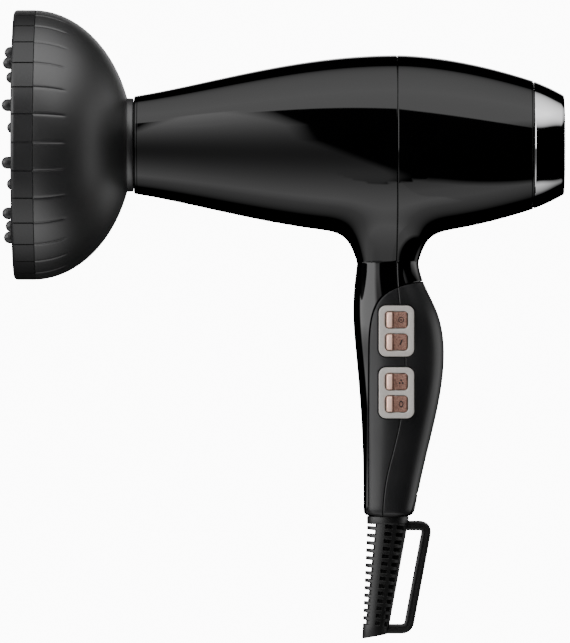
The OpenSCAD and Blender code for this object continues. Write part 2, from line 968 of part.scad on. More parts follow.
module diffuser_front() {
    plate = 2;
    hole_r = 2.2;
    skirt = 3;
    groove = 0.8;
    inner_r = diffuser_r - diffuser_wall - 0.7;
    dish = [for (i = [0 : 8]) let (r = (diffuser_r - 4) * i / 8) [r, dish_x(r)]];
    color("#2b2b2b") {
        difference() {
            turned(concat(
                dish,
                arc(diffuser_r - 2, rim_front + 2, 2, 250, 360, 6),
                [[diffuser_r, rim_seam], [inner_r, rim_seam], [inner_r, rim_seam + skirt],
                    [inner_r - 1.5, rim_seam + skirt], [inner_r - 1.5, rim_front + 6]],
                [for (i = [8 : -1 : 0]) if (dish[i][0] < inner_r - 2) [dish[i][0], dish[i][1] + plate]]
            ));
            for (ring = hole_rings)
                for (k = [0 : ring[0] - 1])
                    let (a = 360 * (k + 0.5) / ring[0])
                    rod_x(hole_r, rim_front - 5, rim_front + 25, ring[1] * cos(a), axis_z + ring[1] * sin(a), 20);
            for (k = [0 : groove_count - 1])
                translate([0, 0, axis_z])
                    rotate([360 * k / groove_count, 0, 0])
                        translate([rim_front - 1, diffuser_r - 0.7, -groove / 2])
                            cube([rim_len + 2, 2, groove]);
        }
        for (k = [0 : finger_count - 1])
            finger(finger_ring_r, 360 * (k + 1 / 3) / finger_count, dish_x(finger_ring_r) + 1,
                rim_front - finger_reach);
        for (k = [0 : short_count - 1])
            finger(short_ring_r, 360 * (k + 0.25) / short_count, dish_x(short_ring_r) + 1, rim_front + 2);
    }
}

module diffuser_clip() {
    color("#9c9c9c")
        difference() {
            tube(spigot_r + run_gap, spigot_r + run_gap + 1.1, clip_x - clip_width / 2, clip_x + clip_width / 2);
            translate([clip_x - 3, -3, axis_z - 30])
                cube([6, 6, 20]);
        }
}

front_housing();
rear_housing();
front_grip_pads();
rear_grip();
upper_bezel();
lower_bezel();
ion_rocker();
boost_rocker();
speed_rocker();
heat_rocker();
upper_rocker_pin();
lower_rocker_pin();
upper_switch();
lower_switch();
control_board();
capacitor();
terminal_block();
cord_clamp();
housing_screws();
wiring();
strain_relief();
outlet_nozzle();
outlet_grille();
heater_sleeve();
heater_former();
heater_coils();
thermostat();
thermal_fuse();
ioniser_module();
ioniser_needle();
air_duct();
motor_housing();
motor_mount_rings();
motor_can();
motor_bushes();
motor_shaft();
fan();
rear_trim_ring();
rear_grille();
filter_mesh();
diffuser_bowl();
diffuser_front();
diffuser_clip();
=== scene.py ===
import json
import math

import bmesh
import bpy
import numpy as np
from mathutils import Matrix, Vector
from mathutils.geometry import tessellate_polygon


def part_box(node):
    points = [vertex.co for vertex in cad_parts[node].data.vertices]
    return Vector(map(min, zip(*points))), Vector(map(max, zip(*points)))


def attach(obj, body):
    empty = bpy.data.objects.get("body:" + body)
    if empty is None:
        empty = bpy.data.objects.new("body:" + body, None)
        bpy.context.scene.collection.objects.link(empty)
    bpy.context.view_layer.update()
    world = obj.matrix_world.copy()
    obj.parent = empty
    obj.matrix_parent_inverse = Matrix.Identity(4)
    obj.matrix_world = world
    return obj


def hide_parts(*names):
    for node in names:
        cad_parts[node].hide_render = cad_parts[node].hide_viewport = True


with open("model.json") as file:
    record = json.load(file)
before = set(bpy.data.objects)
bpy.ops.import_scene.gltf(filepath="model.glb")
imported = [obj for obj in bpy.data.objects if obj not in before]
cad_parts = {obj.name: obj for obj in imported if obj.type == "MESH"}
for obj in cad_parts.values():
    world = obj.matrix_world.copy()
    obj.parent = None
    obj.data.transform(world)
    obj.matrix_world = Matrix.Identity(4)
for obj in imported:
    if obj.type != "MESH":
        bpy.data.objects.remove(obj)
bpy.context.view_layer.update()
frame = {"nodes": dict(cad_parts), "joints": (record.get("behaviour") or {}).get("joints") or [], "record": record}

# Lengths below are in millimetres unless a name ends in _m. Meshes are scaled to metres when they are made.
MM = 0.001
NODES = frame["nodes"]
JOINTS = {joint["name"]: joint for joint in frame["joints"]}


def low(node, axis):
    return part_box(node)[0][axis] / MM


def high(node, axis):
    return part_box(node)[1][axis] / MM


def middle(node, axis):
    return (low(node, axis) + high(node, axis)) / 2


X, Y, Z = 0, 1, 2

# Places that come from the frame
AXIS_Z = JOINTS["fan_spin"]["pos_m"][Z] / MM
FRONT_X = low("front_housing", X)
RING_X = low("rear_trim_ring", X)
REAR_X = high("rear_trim_ring", X)
BARREL_R = high("front_housing", Z) - AXIS_Z
HANDLE_BOTTOM = low("rear_housing", Z)
DIFFUSER_R = high("diffuser_front", Y)
DIFFUSER_BACK = high("diffuser_bowl", X)

# Casing shape
PARTING_X = -1.5
RING_GAP = 0.3
SEAM_X = RING_X - RING_GAP
# The barrel's swell starts ahead of its cut-off front end
SWELL_X = FRONT_X - 8
SWELL_R = 23.5
SWELL_POWER = 1.3
FALL_POWER = 1.75
SEAM_R = 32.1
RING_END_R = 24.8
WALL = 2.0
GRIP_THICK = 1.2
RIM_ROUND = 1.2
SEAM_ROUND = 0.5
OVAL_POWER = 2.4
FILLET_REACH = 15
BOTTOM_REACH = 5
HANDLE_TOP = AXIS_Z - 27
CELL = 1.7

# Where the two housings meet down the handle, from the foot up: height, x
PARTING_LINE = np.array([
    [HANDLE_BOTTOM - 4, -9.0],
    [-54, -6.8],
    [-42.5, -4],
    [-25, 0],
    [-8, 2.2],
    [6, 2.4],
    [20, 1.0],
    [34, -0.5],
    [46, PARTING_X],
    [60, PARTING_X],
])

# Above a crease at this height the neck flares into the barrel: slopes of its front, rear and sides
NECK_Z = 53.7
FLARE_FRONT = 0.33
FLARE_REAR = 0.3
FLARE_SIDE = 0.5

# Handle stations from the bottom up: height, front edge, rear edge, half the width
STATIONS = np.array([
    [HANDLE_BOTTOM - 4, -18.3, 6.0, 14.2],
    [-46, -18.5, 12.5, 16],
    [-21, -19.6, 18.4, 17.7],
    [6, -21.8, 22, 18.3],
    [30, -23.4, 18.2, 17.9],
    [46, -22.4, 11.0, 15.8],
    [NECK_Z, -21.5, 9.2, 14.2],
    [NECK_Z + 8, -21.1, 8.6, 13.2],
])


# ---------------------------------------------------------------- mesh tools

def link(mesh, material, body, slot):
    """A piece named after its mesh, riding on a body."""
    piece = bpy.data.objects.new(mesh.name, mesh)
    bpy.context.scene.collection.objects.link(piece)
    mesh.materials.append(material)
    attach(piece, body)
    return piece


def new_mesh(name, points, faces, sharp_angle=40, normals=None):
    """A mesh from points in millimetres. normals is one vector for each corner of each face, or None."""
    mesh = bpy.data.meshes.new(name)
    mesh.from_pydata((np.asarray(points, float) * MM).tolist(), [], [list(map(int, f)) for f in faces])
    mesh.validate()
    mesh.polygons.foreach_set("use_smooth", [True] * len(mesh.polygons))
    if normals is None:
        mesh.set_sharp_from_angle(angle=math.radians(sharp_angle))
    else:
        mesh.normals_split_custom_set(normals.tolist())
    mesh.update()
    return mesh


def tidy(mesh):
    """Joins points that coincide and drops the empty faces this leaves."""
    apart = 0.005 * MM
    shape = bmesh.new()
    shape.from_mesh(mesh)
    bmesh.ops.remove_doubles(shape, verts=shape.verts, dist=apart)
    bmesh.ops.dissolve_degenerate(shape, edges=shape.edges, dist=apart)
    bmesh.ops.recalc_face_normals(shape, faces=shape.faces)
    shape.to_mesh(mesh)
    shape.free()


def unit(v):
    return v / np.maximum(np.linalg.norm(v, axis=-1, keepdims=True), 1e-12)


def spline(xs, ys):
    """Natural cubic spline through the points, as a function of an array."""
    n = len(xs)
    h = np.diff(xs)
    a = np.eye(n)
    b = np.zeros(n)
    for i in range(1, n - 1):
        a[i, i - 1], a[i, i], a[i, i + 1] = h[i - 1], 2 * (h[i - 1] + h[i]), h[i]
        b[i] = 6 * ((ys[i + 1] - ys[i]) / h[i] - (ys[i] - ys[i - 1]) / h[i - 1])
    m = np.linalg.solve(a, b)

    def curve(x):
        x = np.clip(x, xs[0], xs[-1])
        i = np.clip(np.searchsorted(xs, x) - 1, 0, n - 2)
        t, u = x - xs[i], xs[i + 1] - x
        return (
            (m[i] * u**3 + m[i + 1] * t**3) / (6 * h[i])
            + (ys[i] / h[i] - m[i] * h[i] / 6) * u
            + (ys[i + 1] / h[i] - m[i + 1] * h[i] / 6) * t
        )

    return curve


def grid_faces(rows, columns, closed=True):
    """Quads over a grid of points; closed joins the last column to the first."""
    wrap = columns if closed else columns - 1
    faces = []
    for here in range(0, (rows - 1) * columns, columns):
        above = here + columns
        for c in range(wrap):
            after = (c + 1) % columns
            faces.append((here + c, here + after, above + after, above + c))
    return faces


def lathe(outline, columns=160, angles=None):
    """Points and faces turned about the barrel's axis from an outline of (radius, x)."""
    turn = np.linspace(0, 2 * math.pi, columns, endpoint=False) if angles is None else angles
    points = [
        (x, r * math.cos(a), AXIS_Z + r * math.sin(a))
        for r, x in outline
        for a in turn
    ]
    return points, grid_faces(len(outline), len(turn))


# Corners of a box anticlockwise: sign of x, sign of y, angle where its rounding starts
BOX_CORNERS = ((1, 1, 0), (-1, 1, 90), (-1, -1, 180), (1, -1, 270))


def arc(cx, cy, r, start, end, steps):
    return [
        (cx + r * math.cos(math.radians(a)), cy + r * math.sin(math.radians(a)))
        for a in np.linspace(start, end, steps + 1)
    ]


def round_box(cx, cz, w, h, r, steps=7):
    """Rectangle (x, z) with round corners, anticlockwise from the right."""
    return [
        point
        for sx, sz, turn in BOX_CORNERS
        for point in arc(cx + sx * (w / 2 - r), cz + sz * (h / 2 - r), r, turn, turn + 90, steps)
    ]


# ---------------------------------------------------------------- casing shape as one smooth field

def barrel_radius(x):
    front = np.clip((x - SWELL_X) / (PARTING_X - SWELL_X), 0, 1)
    swell = SWELL_R + (BARREL_R - SWELL_R) * np.sin(front * math.pi / 2) ** SWELL_POWER
    rear = np.clip((x - PARTING_X) / (SEAM_X - PARTING_X), 0, 1.1)
    fall = BARREL_R - (BARREL_R - SEAM_R) * rear**FALL_POWER
    return np.where(x < PARTING_X, swell, fall)


HANDLE_FRONT = spline(STATIONS[:, 0], STATIONS[:, 1])
HANDLE_REAR = spline(STATIONS[:, 0], STATIONS[:, 2])
HANDLE_HALF = spline(STATIONS[:, 0], STATIONS[:, 3])


def smooth_min(a, b, reach):
    h = np.maximum(reach - np.abs(a - b), 0) / reach
    return np.minimum(a, b) - h**3 * reach / 6


def smooth_max(a, b, reach):
    return -smooth_min(-a, -b, reach)


def casing_field(p):
    """About the distance outside the casing's skin, negative inside."""
    x, y, z = p[..., 0], p[..., 1], p[..., 2]
    step = 0.05
    slope = (barrel_radius(x + step) - barrel_radius(x - step)) / (2 * step)
    barrel = (np.hypot(y, z - AXIS_Z) - barrel_radius(x)) / np.sqrt(1 + slope**2)
    above = np.maximum(z - NECK_Z, 0)
    low_z = np.minimum(z, NECK_Z)
    front = HANDLE_FRONT(low_z) - FLARE_FRONT * above
    rear = HANDLE_REAR(low_z) + FLARE_REAR * above
    half = HANDLE_HALF(low_z) + FLARE_SIDE * above
    deep = (rear - front) / 2
    u = np.abs((x - (front + rear) / 2) / deep) + 1e-9
    v = np.abs(y / half) + 1e-9
    s = u**OVAL_POWER + v**OVAL_POWER
    level = s ** (1 / OVAL_POWER)
    pull = s ** (1 / OVAL_POWER - 1)
    steep = np.hypot(pull * u ** (OVAL_POWER - 1) / deep, pull * v ** (OVAL_POWER - 1) / half)
    handle = (level - 1) / steep
    handle = smooth_max(handle, HANDLE_BOTTOM - z, BOTTOM_REACH)
    handle = np.maximum(handle, z - HANDLE_TOP)
    return smooth_min(barrel, handle, FILLET_REACH)


def gradient(p, field, step=0.02):
    parts = []
    for axis in range(3):
        shift = np.zeros(3)
        shift[axis] = step
        parts.append((field(p + shift) - field(p - shift)) / (2 * step))
    return np.stack(parts, axis=-1)


def settle(p, field, rounds=6):
    """Points moved along the field's gradient onto its zero surface."""
    for _ in range(rounds):
        g = gradient(p, field)
        move = field(p) / np.maximum((g**2).sum(-1), 1e-6)
        p = p - np.clip(move, -2, 2)[:, None] * g
    return p


def surface_net(field, lowest, highest, cell):
    """Triangles of the field's zero surface on a regular grid."""
    axes = [np.arange(lowest[k], highest[k] + cell, cell) for k in range(3)]
    shape = tuple(len(a) for a in axes)
    values = np.empty(shape)
    for i, x in enumerate(axes[0]):
        plane = np.stack(np.meshgrid([x], axes[1], axes[2], indexing="ij"), axis=-1)[0]
        values[i] = field(plane)
    inside = values < 0
    corners = [(a, b, c) for a in (0, 1) for b in (0, 1) for c in (0, 1)]

    def shifted(grid, corner):
        return grid[tuple(slice(k, n - 1 + k) for k, n in zip(corner, shape))]

    count = sum(shifted(inside, c).astype(int) for c in corners)
    active = (count > 0) & (count < 8)
    cells = np.argwhere(active)
    index = -np.ones(active.shape, int)
    index[active] = np.arange(len(cells))
    total = np.zeros((len(cells), 3))
    hits = np.zeros(len(cells))
    where = tuple(cells.T)
    for first in corners:
        for axis in range(3):
            if first[axis]:
                continue
            second = tuple(1 if k == axis else first[k] for k in range(3))
            va, vb = shifted(values, first)[where], shifted(values, second)[where]
            cross = (va < 0) != (vb < 0)
            t = np.where(cross, va / np.where(cross, va - vb, 1), 0)
            spot = cells + np.array(first, float)
            spot[:, axis] += t
            total += spot * cross[:, None]
            hits += cross
    points = np.array(lowest) + total / hits[:, None] * cell
    quads = []
    for axis in range(3):
        u, v = (axis + 1) % 3, (axis + 2) % 3
        start = [slice(1, n - 1) for n in shape]
        start[axis] = slice(0, shape[axis] - 1)
        after = list(start)
        after[axis] = slice(1, shape[axis])
        a, b = inside[tuple(start)], inside[tuple(after)]
        base = np.array([s.start for s in start])
        for flip, found in ((False, a & ~b), (True, ~a & b)):
            edge = np.argwhere(found) + base
            ring = []
            for du, dv in ((-1, -1), (0, -1), (0, 0), (-1, 0)):
                at = edge.copy()
                at[:, u] += du
                at[:, v] += dv
                ring.append(index[tuple(at.T)])
            ring = np.stack(ring, axis=1)
            quads.append(ring[:, ::-1] if flip else ring)
    quads = np.concatenate(quads)
    return points, np.concatenate([quads[:, [0, 1, 2]], quads[:, [0, 2, 3]]])


def split(points, triangles, level):
    """The same surface with every triangle cut where level, a value at each point, changes sign."""
    level = np.where(np.abs(level) < 1e-4, 1e-4, level)
    side = level[triangles] > 0
    mixed = side.any(1) & ~side.all(1)
    keep, cut = triangles[~mixed], triangles[mixed]
    if not len(cut):
        return points, triangles
    lone_side = side[mixed].sum(1) == 1
    lone = np.argmax(side[mixed] == lone_side[:, None], axis=1)
    rows = np.arange(len(cut))
    a, b, c = (cut[rows, (lone + k) % 3] for k in range(3))
    pairs = np.sort(np.stack([np.concatenate([a, a]), np.concatenate([b, c])], axis=1), axis=1)
    unique, back = np.unique(pairs, axis=0, return_inverse=True)
    back = back.reshape(-1)
    la, lb = level[unique[:, 0]], level[unique[:, 1]]
    t = (la / (la - lb))[:, None]
    fresh = points[unique[:, 0]] * (1 - t) + points[unique[:, 1]] * t
    ab, ac = len(points) + back[: len(cut)], len(points) + back[len(cut):]
    pieces = [keep, np.stack([a, ab, ac], 1), np.stack([ab, b, c], 1), np.stack([ab, c, ac], 1)]
    return np.concatenate([points, fresh]), np.concatenate(pieces)


def keep_where(points, triangles, inside):
    """Only the triangles whose middle is inside, with unused points dropped."""
    middle = points[triangles].mean(1)
    triangles = triangles[inside(middle)]
    used, back = np.unique(triangles, return_inverse=True)
    return points[used], back.reshape(-1, 3)


def open_edges(triangles):
    edges = np.concatenate([triangles[:, [0, 1]], triangles[:, [1, 2]], triangles[:, [2, 0]]])
    key = np.sort(edges, axis=1)
    _, back, count = np.unique(key, axis=0, return_inverse=True, return_counts=True)
    return edges[count[back.reshape(-1)] == 1]


EDGE_WIDTH = 0.45
EDGE_DROP = 0.22
SKIN_GAP = 0.1
# The lap that the housings make behind every seam, so that none is open
LINER_THICK = 0.5
LINER_DEPTH = WALL + 0.1


def panel(points, triangles, borders, thick, depth=0.0):
    """A closed shell of the casing's skin, limited by borders, depth below the surface.

    Each border is a function that is negative inside. The skin turns down along each of them, so that two
    neighbouring panels meet in a fine rounded groove."""
    for border in borders:
        for inset in (EDGE_WIDTH + SKIN_GAP, EDGE_WIDTH / 2 + SKIN_GAP, SKIN_GAP):
            points, triangles = split(points, triangles, border(points) + inset)
    limit = lambda p: np.max([border(p) for border in borders], axis=0)
    points, triangles = keep_where(points, triangles, lambda p: limit(p) < -SKIN_GAP)
    points = settle(points, casing_field, 2)
    normals = unit(gradient(points, casing_field))
    points = points - normals * depth
    outward = gradient(points, limit)
    outward = outward - (outward * normals).sum(-1, keepdims=True) * normals
    near = np.clip(1 + (limit(points) + SKIN_GAP) / EDGE_WIDTH, 0, 1)[:, None]
    outer = points - normals * EDGE_DROP * near**2
    shaded = unit(normals + unit(outward) * near * 1.1)
    inner = points - normals * thick
    n = len(points)
    rim = open_edges(triangles)
    walls = np.concatenate([
        np.stack([rim[:, 1], rim[:, 0], rim[:, 0] + n], 1),
        np.stack([rim[:, 1], rim[:, 0] + n, rim[:, 1] + n], 1),
    ])
    faces = np.concatenate([triangles, triangles[:, ::-1] + n, walls])
    everything = np.concatenate([outer, inner])
    corner_normals = np.concatenate([shaded, -normals])[faces]
    a, b, c = (everything[walls[:, k]] for k in range(3))
    flat = unit(np.cross(b - a, c - a))
    corner_normals[-len(walls):] = flat[:, None, :]
    return everything, faces, corner_normals.reshape(-1, 3)


PARTING_CURVE = spline(PARTING_LINE[:, 0], PARTING_LINE[:, 1])


def bent_parting(p):
    """Distance behind the surface where the two housings meet; it follows the bow of the handle."""
    return p[..., 0] - PARTING_CURVE(p[..., 2])


# Edges of the soft grip: its front edge and top edge lean a little, and meet in a wide curve
GRIP_FRONT_X = -15.743
GRIP_FRONT_LEAN = 0.009
GRIP_TOP = 42.8
GRIP_TOP_LEAN = 0.15
GRIP_CURVE = 34
# The heel that stays glossy: its x at the foot, its lean and its height
HEEL_X = 4.9
HEEL_LEAN = 0.37
HEEL_HIGH = 24
HEEL_CURVE = 3


def grip_border(p):
    """Negative where the soft grip covers the handle; the heel at the rear foot stays glossy."""
    x, z = p[..., 0], p[..., 2]
    front = GRIP_FRONT_X + GRIP_FRONT_LEAN * z - x
    top = z - (GRIP_TOP + GRIP_TOP_LEAN * x)
    bottom = HANDLE_BOTTOM + 0.5 - z
    heel = (x - HEEL_X - HEEL_LEAN * (z - HANDLE_BOTTOM)) / math.hypot(1, HEEL_LEAN)
    heel = np.where(z < HANDLE_BOTTOM + HEEL_HIGH, heel, -10)
    return np.maximum(smooth_max(front, top, GRIP_CURVE), smooth_max(bottom, heel, HEEL_CURVE))


BEZEL_ROUND = 3.6


def opening_border(node):
    """Negative outside the round-cornered pocket of a switch bezel, on the switch side only."""
    cx, cz = middle(node, X), middle(node, Z)
    hw, hh = high(node, X) - cx, high(node, Z) - cz

    def border(p):
        across = np.abs(p[..., 0] - cx) - hw + BEZEL_ROUND
        along = np.abs(p[..., 2] - cz) - hh + BEZEL_ROUND
        q = np.stack([across, along], -1)
        distance = np.linalg.norm(np.maximum(q, 0), axis=-1) + np.minimum(q.max(-1), 0) - BEZEL_ROUND
        return np.where(p[..., 1] < 0, 0.25 - distance, -50)

    return border


def casing():
    """The two glossy housings and the soft grip, all panels of one smooth skin."""
    points, triangles = surface_net(
        casing_field,
        (FRONT_X - 4, -BARREL_R - 4, HANDLE_BOTTOM - 4),
        (SEAM_X + 4, BARREL_R + 4, AXIS_Z + BARREL_R + 4),
        CELL,
    )
    points = settle(points, casing_field, 8)
    ahead = bent_parting
    behind = lambda p: -bent_parting(p)
    off_grip = lambda p: -grip_border(p)
    holes = [opening_border("upper_bezel"), opening_border("lower_bezel")]
    front_end = lambda p: FRONT_X + RIM_ROUND + 0.3 - SKIN_GAP - p[..., 0]
    rear_end = lambda p: p[..., 0] - (SEAM_X - SEAM_ROUND - 0.2 + SKIN_GAP)
    pieces = (
        ("casing_front", "front_housing", (ahead, off_grip, front_end), WALL, GLOSS_BLACK, "gloss_black"),
        ("casing_rear", "rear_housing", (behind, off_grip, rear_end), WALL, GLOSS_BLACK, "gloss_black"),
        ("grip_front", "front_grip_pads", (ahead, grip_border, *holes), GRIP_THICK, SOFT_GRIP, "soft_grip"),
        ("grip_rear", "rear_grip", (behind, grip_border, *holes), GRIP_THICK, SOFT_GRIP, "soft_grip"),
    )
    for name, node, borders, thick, material, slot in pieces:
        shell, faces, normals = panel(points, triangles, borders, thick)
        piece = link(new_mesh(name, shell, faces, normals=normals), material, "casing", slot)
        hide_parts(node)
    shell, faces, normals = panel(points, triangles, (front_end, rear_end, *holes), LINER_THICK, LINER_DEPTH)
    link(new_mesh("casing_lap", shell, faces, normals=normals), LAP_AND_SHADE_BLACK, "casing", "gloss_black")


# ---------------------------------------------------------------- materials

def material(name):
    made = bpy.data.materials.new(name)
    made.use_nodes = True
    shader = made.node_tree.nodes["Principled BSDF"]
    return made, shader


def node(made, kind, **values):
    made_node = made.node_tree.nodes.new(kind)
    for key, value in values.items():
        if key.startswith("in_"):
            made_node.inputs[key[3:].replace("_", " ")].default_value = value
        else:
            setattr(made_node, key, value)
    return made_node


def wire(made, out_socket, in_socket):
    made.node_tree.links.new(out_socket, in_socket)


def noise(made, scale, detail=3.0, roughness=0.55):
    coordinates = node(made, "ShaderNodeTexCoord")
    texture = node(made, "ShaderNodeTexNoise", in_Scale=scale, in_Detail=detail, in_Roughness=roughness)
    wire(made, coordinates.outputs["Object"], texture.inputs["Vector"])
    return texture.outputs["Fac"]


def spread(made, value, lowest, highest):
    """A value from 0 to 1 mapped to a range."""
    remap = node(made, "ShaderNodeMapRange")
    remap.inputs["To Min"].default_value = lowest
    remap.inputs["To Max"].default_value = highest
    wire(made, value, remap.inputs["Value"])
    return remap.outputs["Result"]


def tint(made, value, dark, light):
    ramp = node(made, "ShaderNodeValToRGB")
    ramp.color_ramp.elements[0].color = (*dark, 1)
    ramp.color_ramp.elements[0].position = 0.3
    ramp.color_ramp.elements[1].color = (*light, 1)
    ramp.color_ramp.elements[1].position = 0.7
    wire(made, value, ramp.inputs["Fac"])
    return ramp.outputs["Color"]


def bump(made, shader, value, strength, distance_m):
    made_bump = node(made, "ShaderNodeBump", in_Strength=strength, in_Distance=distance_m)
    wire(made, value, made_bump.inputs["Height"])
    wire(made, made_bump.outputs["Normal"], shader.inputs["Normal"])


def finish(
    name, dark, light, rough, scale=40, metallic=0.0, grain=None, coat=0.0, coat_rough=0.05, level=0.5
):
    """A moulded or plated finish: its colour and roughness vary gently.

    dark and light are the colours it varies between, rough its roughness from and to, and scale how fine
    the pattern is. grain is the (scale, strength, depth in metres) of a fine bump."""
    made, shader = material(name)
    mottle = noise(made, scale)
    wire(made, tint(made, mottle, dark, light), shader.inputs["Base Color"])
    wire(made, spread(made, mottle, *rough), shader.inputs["Roughness"])
    shader.inputs["Metallic"].default_value = metallic
    shader.inputs["Specular IOR Level"].default_value = level
    shader.inputs["Coat Weight"].default_value = coat
    shader.inputs["Coat Roughness"].default_value = coat_rough
    if grain:
        bump(made, shader, noise(made, grain[0], 4.0), grain[1], grain[2])
    return made


GLOSS_BLACK = finish("gloss_black", (0.0003, 0.0003, 0.0004), (0.0006, 0.0006, 0.0007), (0.03, 0.06))
# Rough black of the laps behind the seams, and of the plates behind the switch windows, where it is also painted
# shade
LAP_AND_SHADE_BLACK = finish("lap_and_shade_black", (0.0004, 0.0004, 0.0005), (0.0008, 0.0008, 0.0009), (0.4, 0.5))
SOFT_GRIP = finish(
    "soft_grip", (0.0065, 0.0065, 0.007), (0.0095, 0.0095, 0.01), (0.31, 0.38), grain=(2600, 0.25, 0.00004),
    level=0.45
)
SATIN_BLACK = finish(
    "satin_black", (0.006, 0.006, 0.0065), (0.009, 0.009, 0.0095), (0.4, 0.46), grain=(2200, 0.25, 0.00004),
    coat=0.8, coat_rough=0.42, level=0.9
)
SATIN_RIM = finish(
    "satin_rim", (0.007, 0.007, 0.0075), (0.01, 0.01, 0.0105), (0.36, 0.42), grain=(2200, 0.25, 0.00004),
    level=0.6
)
POLISHED = finish("polished_ring", (0.72, 0.72, 0.73), (0.8, 0.8, 0.81), (0.03, 0.06), metallic=1.0)
SATIN_SILVER = finish(
    "satin_silver", (0.39, 0.37, 0.348), (0.45, 0.428, 0.405), (0.34, 0.4), scale=900, metallic=0.25,
    grain=(3000, 0.2, 0.00003)
)
# Rose gold of the rockers' lips, made very light: partly the plating's colour, partly a painted highlight of the
# lit lip
ROSE_GOLD_WITH_PAINTED_HIGHLIGHT = finish(
    "rose_gold", (0.96, 0.58, 0.46), (1.0, 0.68, 0.56), (0.26, 0.34), scale=900, metallic=0.3,
    grain=(3000, 0.2, 0.00003)
)
# A dark copy of the rose gold for the pads and the creases beside the lips: painted shade, with a random speckle
# of its own
ROSE_PAD_PAINTED_SHADE = finish(
    "rose_gold_pad_painted_shade", (0.09, 0.045, 0.036), (0.4, 0.22, 0.17), (0.35, 0.5), scale=1500, metallic=0.4,
    grain=(2600, 0.5, 0.00006)
)
ICON_DARK = finish("icon_dark", (0.004, 0.003, 0.003), (0.009, 0.007, 0.006), (0.45, 0.55))
RUBBER = finish(
    "relief_rubber", (0.0035, 0.0035, 0.0035), (0.006, 0.006, 0.006), (0.36, 0.46), grain=(1800, 0.3, 0.00005)
)

# Finishes of the pieces that stay as the frame has them, by the record's slot
SLOT_FINISHES = {
    "gloss_black": GLOSS_BLACK,
    "soft_grip": SOFT_GRIP,
    "satin_silver": SATIN_SILVER,
    "rose_gold": ROSE_GOLD_WITH_PAINTED_HIGHLIGHT,
    "relief_rubber": RUBBER,
    "polished_ring": POLISHED,
    "satin_black": SATIN_BLACK,
}

# The same for the pieces inside: dark colour, light colour, roughness, scale, metallic, grain
INSIDE_FINISHES = {
    "steel": ((0.42, 0.42, 0.43), (0.6, 0.6, 0.61), (0.22, 0.38), 220, 1.0, (1400, 0.15, 0.00003)),
    "bronze": ((0.38, 0.24, 0.11), (0.52, 0.34, 0.17), (0.35, 0.5), 260, 1.0, (1500, 0.2, 0.00004)),
    "resistance_wire": ((0.2, 0.13, 0.1), (0.36, 0.25, 0.19), (0.4, 0.55), 400, 0.9, None),
    "cream_plastic": ((0.6, 0.56, 0.46), (0.68, 0.64, 0.54), (0.4, 0.5), 90, 0, (2000, 0.2, 0.00004)),
    "white_plastic": ((0.68, 0.68, 0.66), (0.76, 0.76, 0.74), (0.35, 0.45), 90, 0, (2000, 0.2, 0.00004)),
    "board_green": ((0.015, 0.07, 0.025), (0.03, 0.11, 0.045), (0.3, 0.42), 350, 0, (900, 0.3, 0.00005)),
    "capacitor_yellow": ((0.5, 0.4, 0.08), (0.6, 0.48, 0.12), (0.35, 0.45), 120, 0, (1500, 0.2, 0.00004)),
    "red_wire": ((0.3, 0.025, 0.015), (0.4, 0.04, 0.025), (0.4, 0.5), 160, 0, (1800, 0.2, 0.00004)),
    "heat_plastic": ((0.012, 0.012, 0.013), (0.02, 0.02, 0.021), (0.45, 0.55), 120, 0, (2000, 0.3, 0.00005)),
    "dark_plastic": ((0.03, 0.03, 0.032), (0.045, 0.045, 0.048), (0.4, 0.52), 120, 0, (2000, 0.25, 0.00005)),
    "mica": ((0.4, 0.34, 0.22), (0.6, 0.53, 0.38), (0.3, 0.5), 130, 0, (600, 0.4, 0.0001)),
    "grille_black": ((0.006, 0.006, 0.007), (0.01, 0.01, 0.011), (0.32, 0.42), 120, 0, (2200, 0.25, 0.00004)),
}
SLOT_FINISHES.update({name: finish(name, *values) for name, values in INSIDE_FINISHES.items()})


def dress_frame_nodes():
    """Every frame node takes its slot's finish over its whole surface; the diffuser's rim has its own."""
    for part in frame["record"]["subparts"]:
        mesh = NODES[part["node"]].data
        dress = SATIN_RIM if part["node"] == "diffuser_front" else SLOT_FINISHES[part["material_slot"]]
        mesh.materials.clear()
        mesh.materials.append(dress)


# ---------------------------------------------------------------- pieces about the barrel

RIM_LAP = 0.2
COLLAR_OUT = 28
COLLAR_IN = 26.4
COLLAR_REACH = 4


def rim_of_nozzle():
    """The rounded front rim of the barrel, turned over to the inside."""
    start = FRONT_X + RIM_ROUND + 0.3
    r = float(barrel_radius(np.array(FRONT_X + RIM_ROUND)))
    outline = [(float(barrel_radius(np.array(start))), start)]
    outline += arc(r - RIM_ROUND, FRONT_X + RIM_ROUND, RIM_ROUND, 0, -90, 6)
    outline += [(r - WALL, FRONT_X), (r - WALL - 0.2, FRONT_X + 0.3), (r - WALL, start)]
    points, faces = lathe(outline, 192)
    link(new_mesh("nozzle_rim", points, faces), GLOSS_BLACK, "casing", "gloss_black")


def rim_of_seam():
    """The rear edge of the barrel and the collar that carries the polished ring."""
    start = SEAM_X - SEAM_ROUND - RIM_LAP
    end = SEAM_X + COLLAR_REACH
    r = float(barrel_radius(np.array(SEAM_X - SEAM_ROUND)))
    outline = [(float(barrel_radius(np.array(start))), start)]
    outline += arc(r - SEAM_ROUND, SEAM_X - SEAM_ROUND, SEAM_ROUND, 0, 90, 4)
    outline += [(COLLAR_OUT, SEAM_X), (COLLAR_OUT, end), (COLLAR_IN, end), (COLLAR_IN, start)]
    points, faces = lathe(outline, 192)
    link(new_mesh("seam_rim", points, faces), GLOSS_BLACK, "casing", "gloss_black")


RING_EDGE = 0.5
RING_CROWN = 0.35
RING_WALL = 1.2
RING_SOCKET = 5


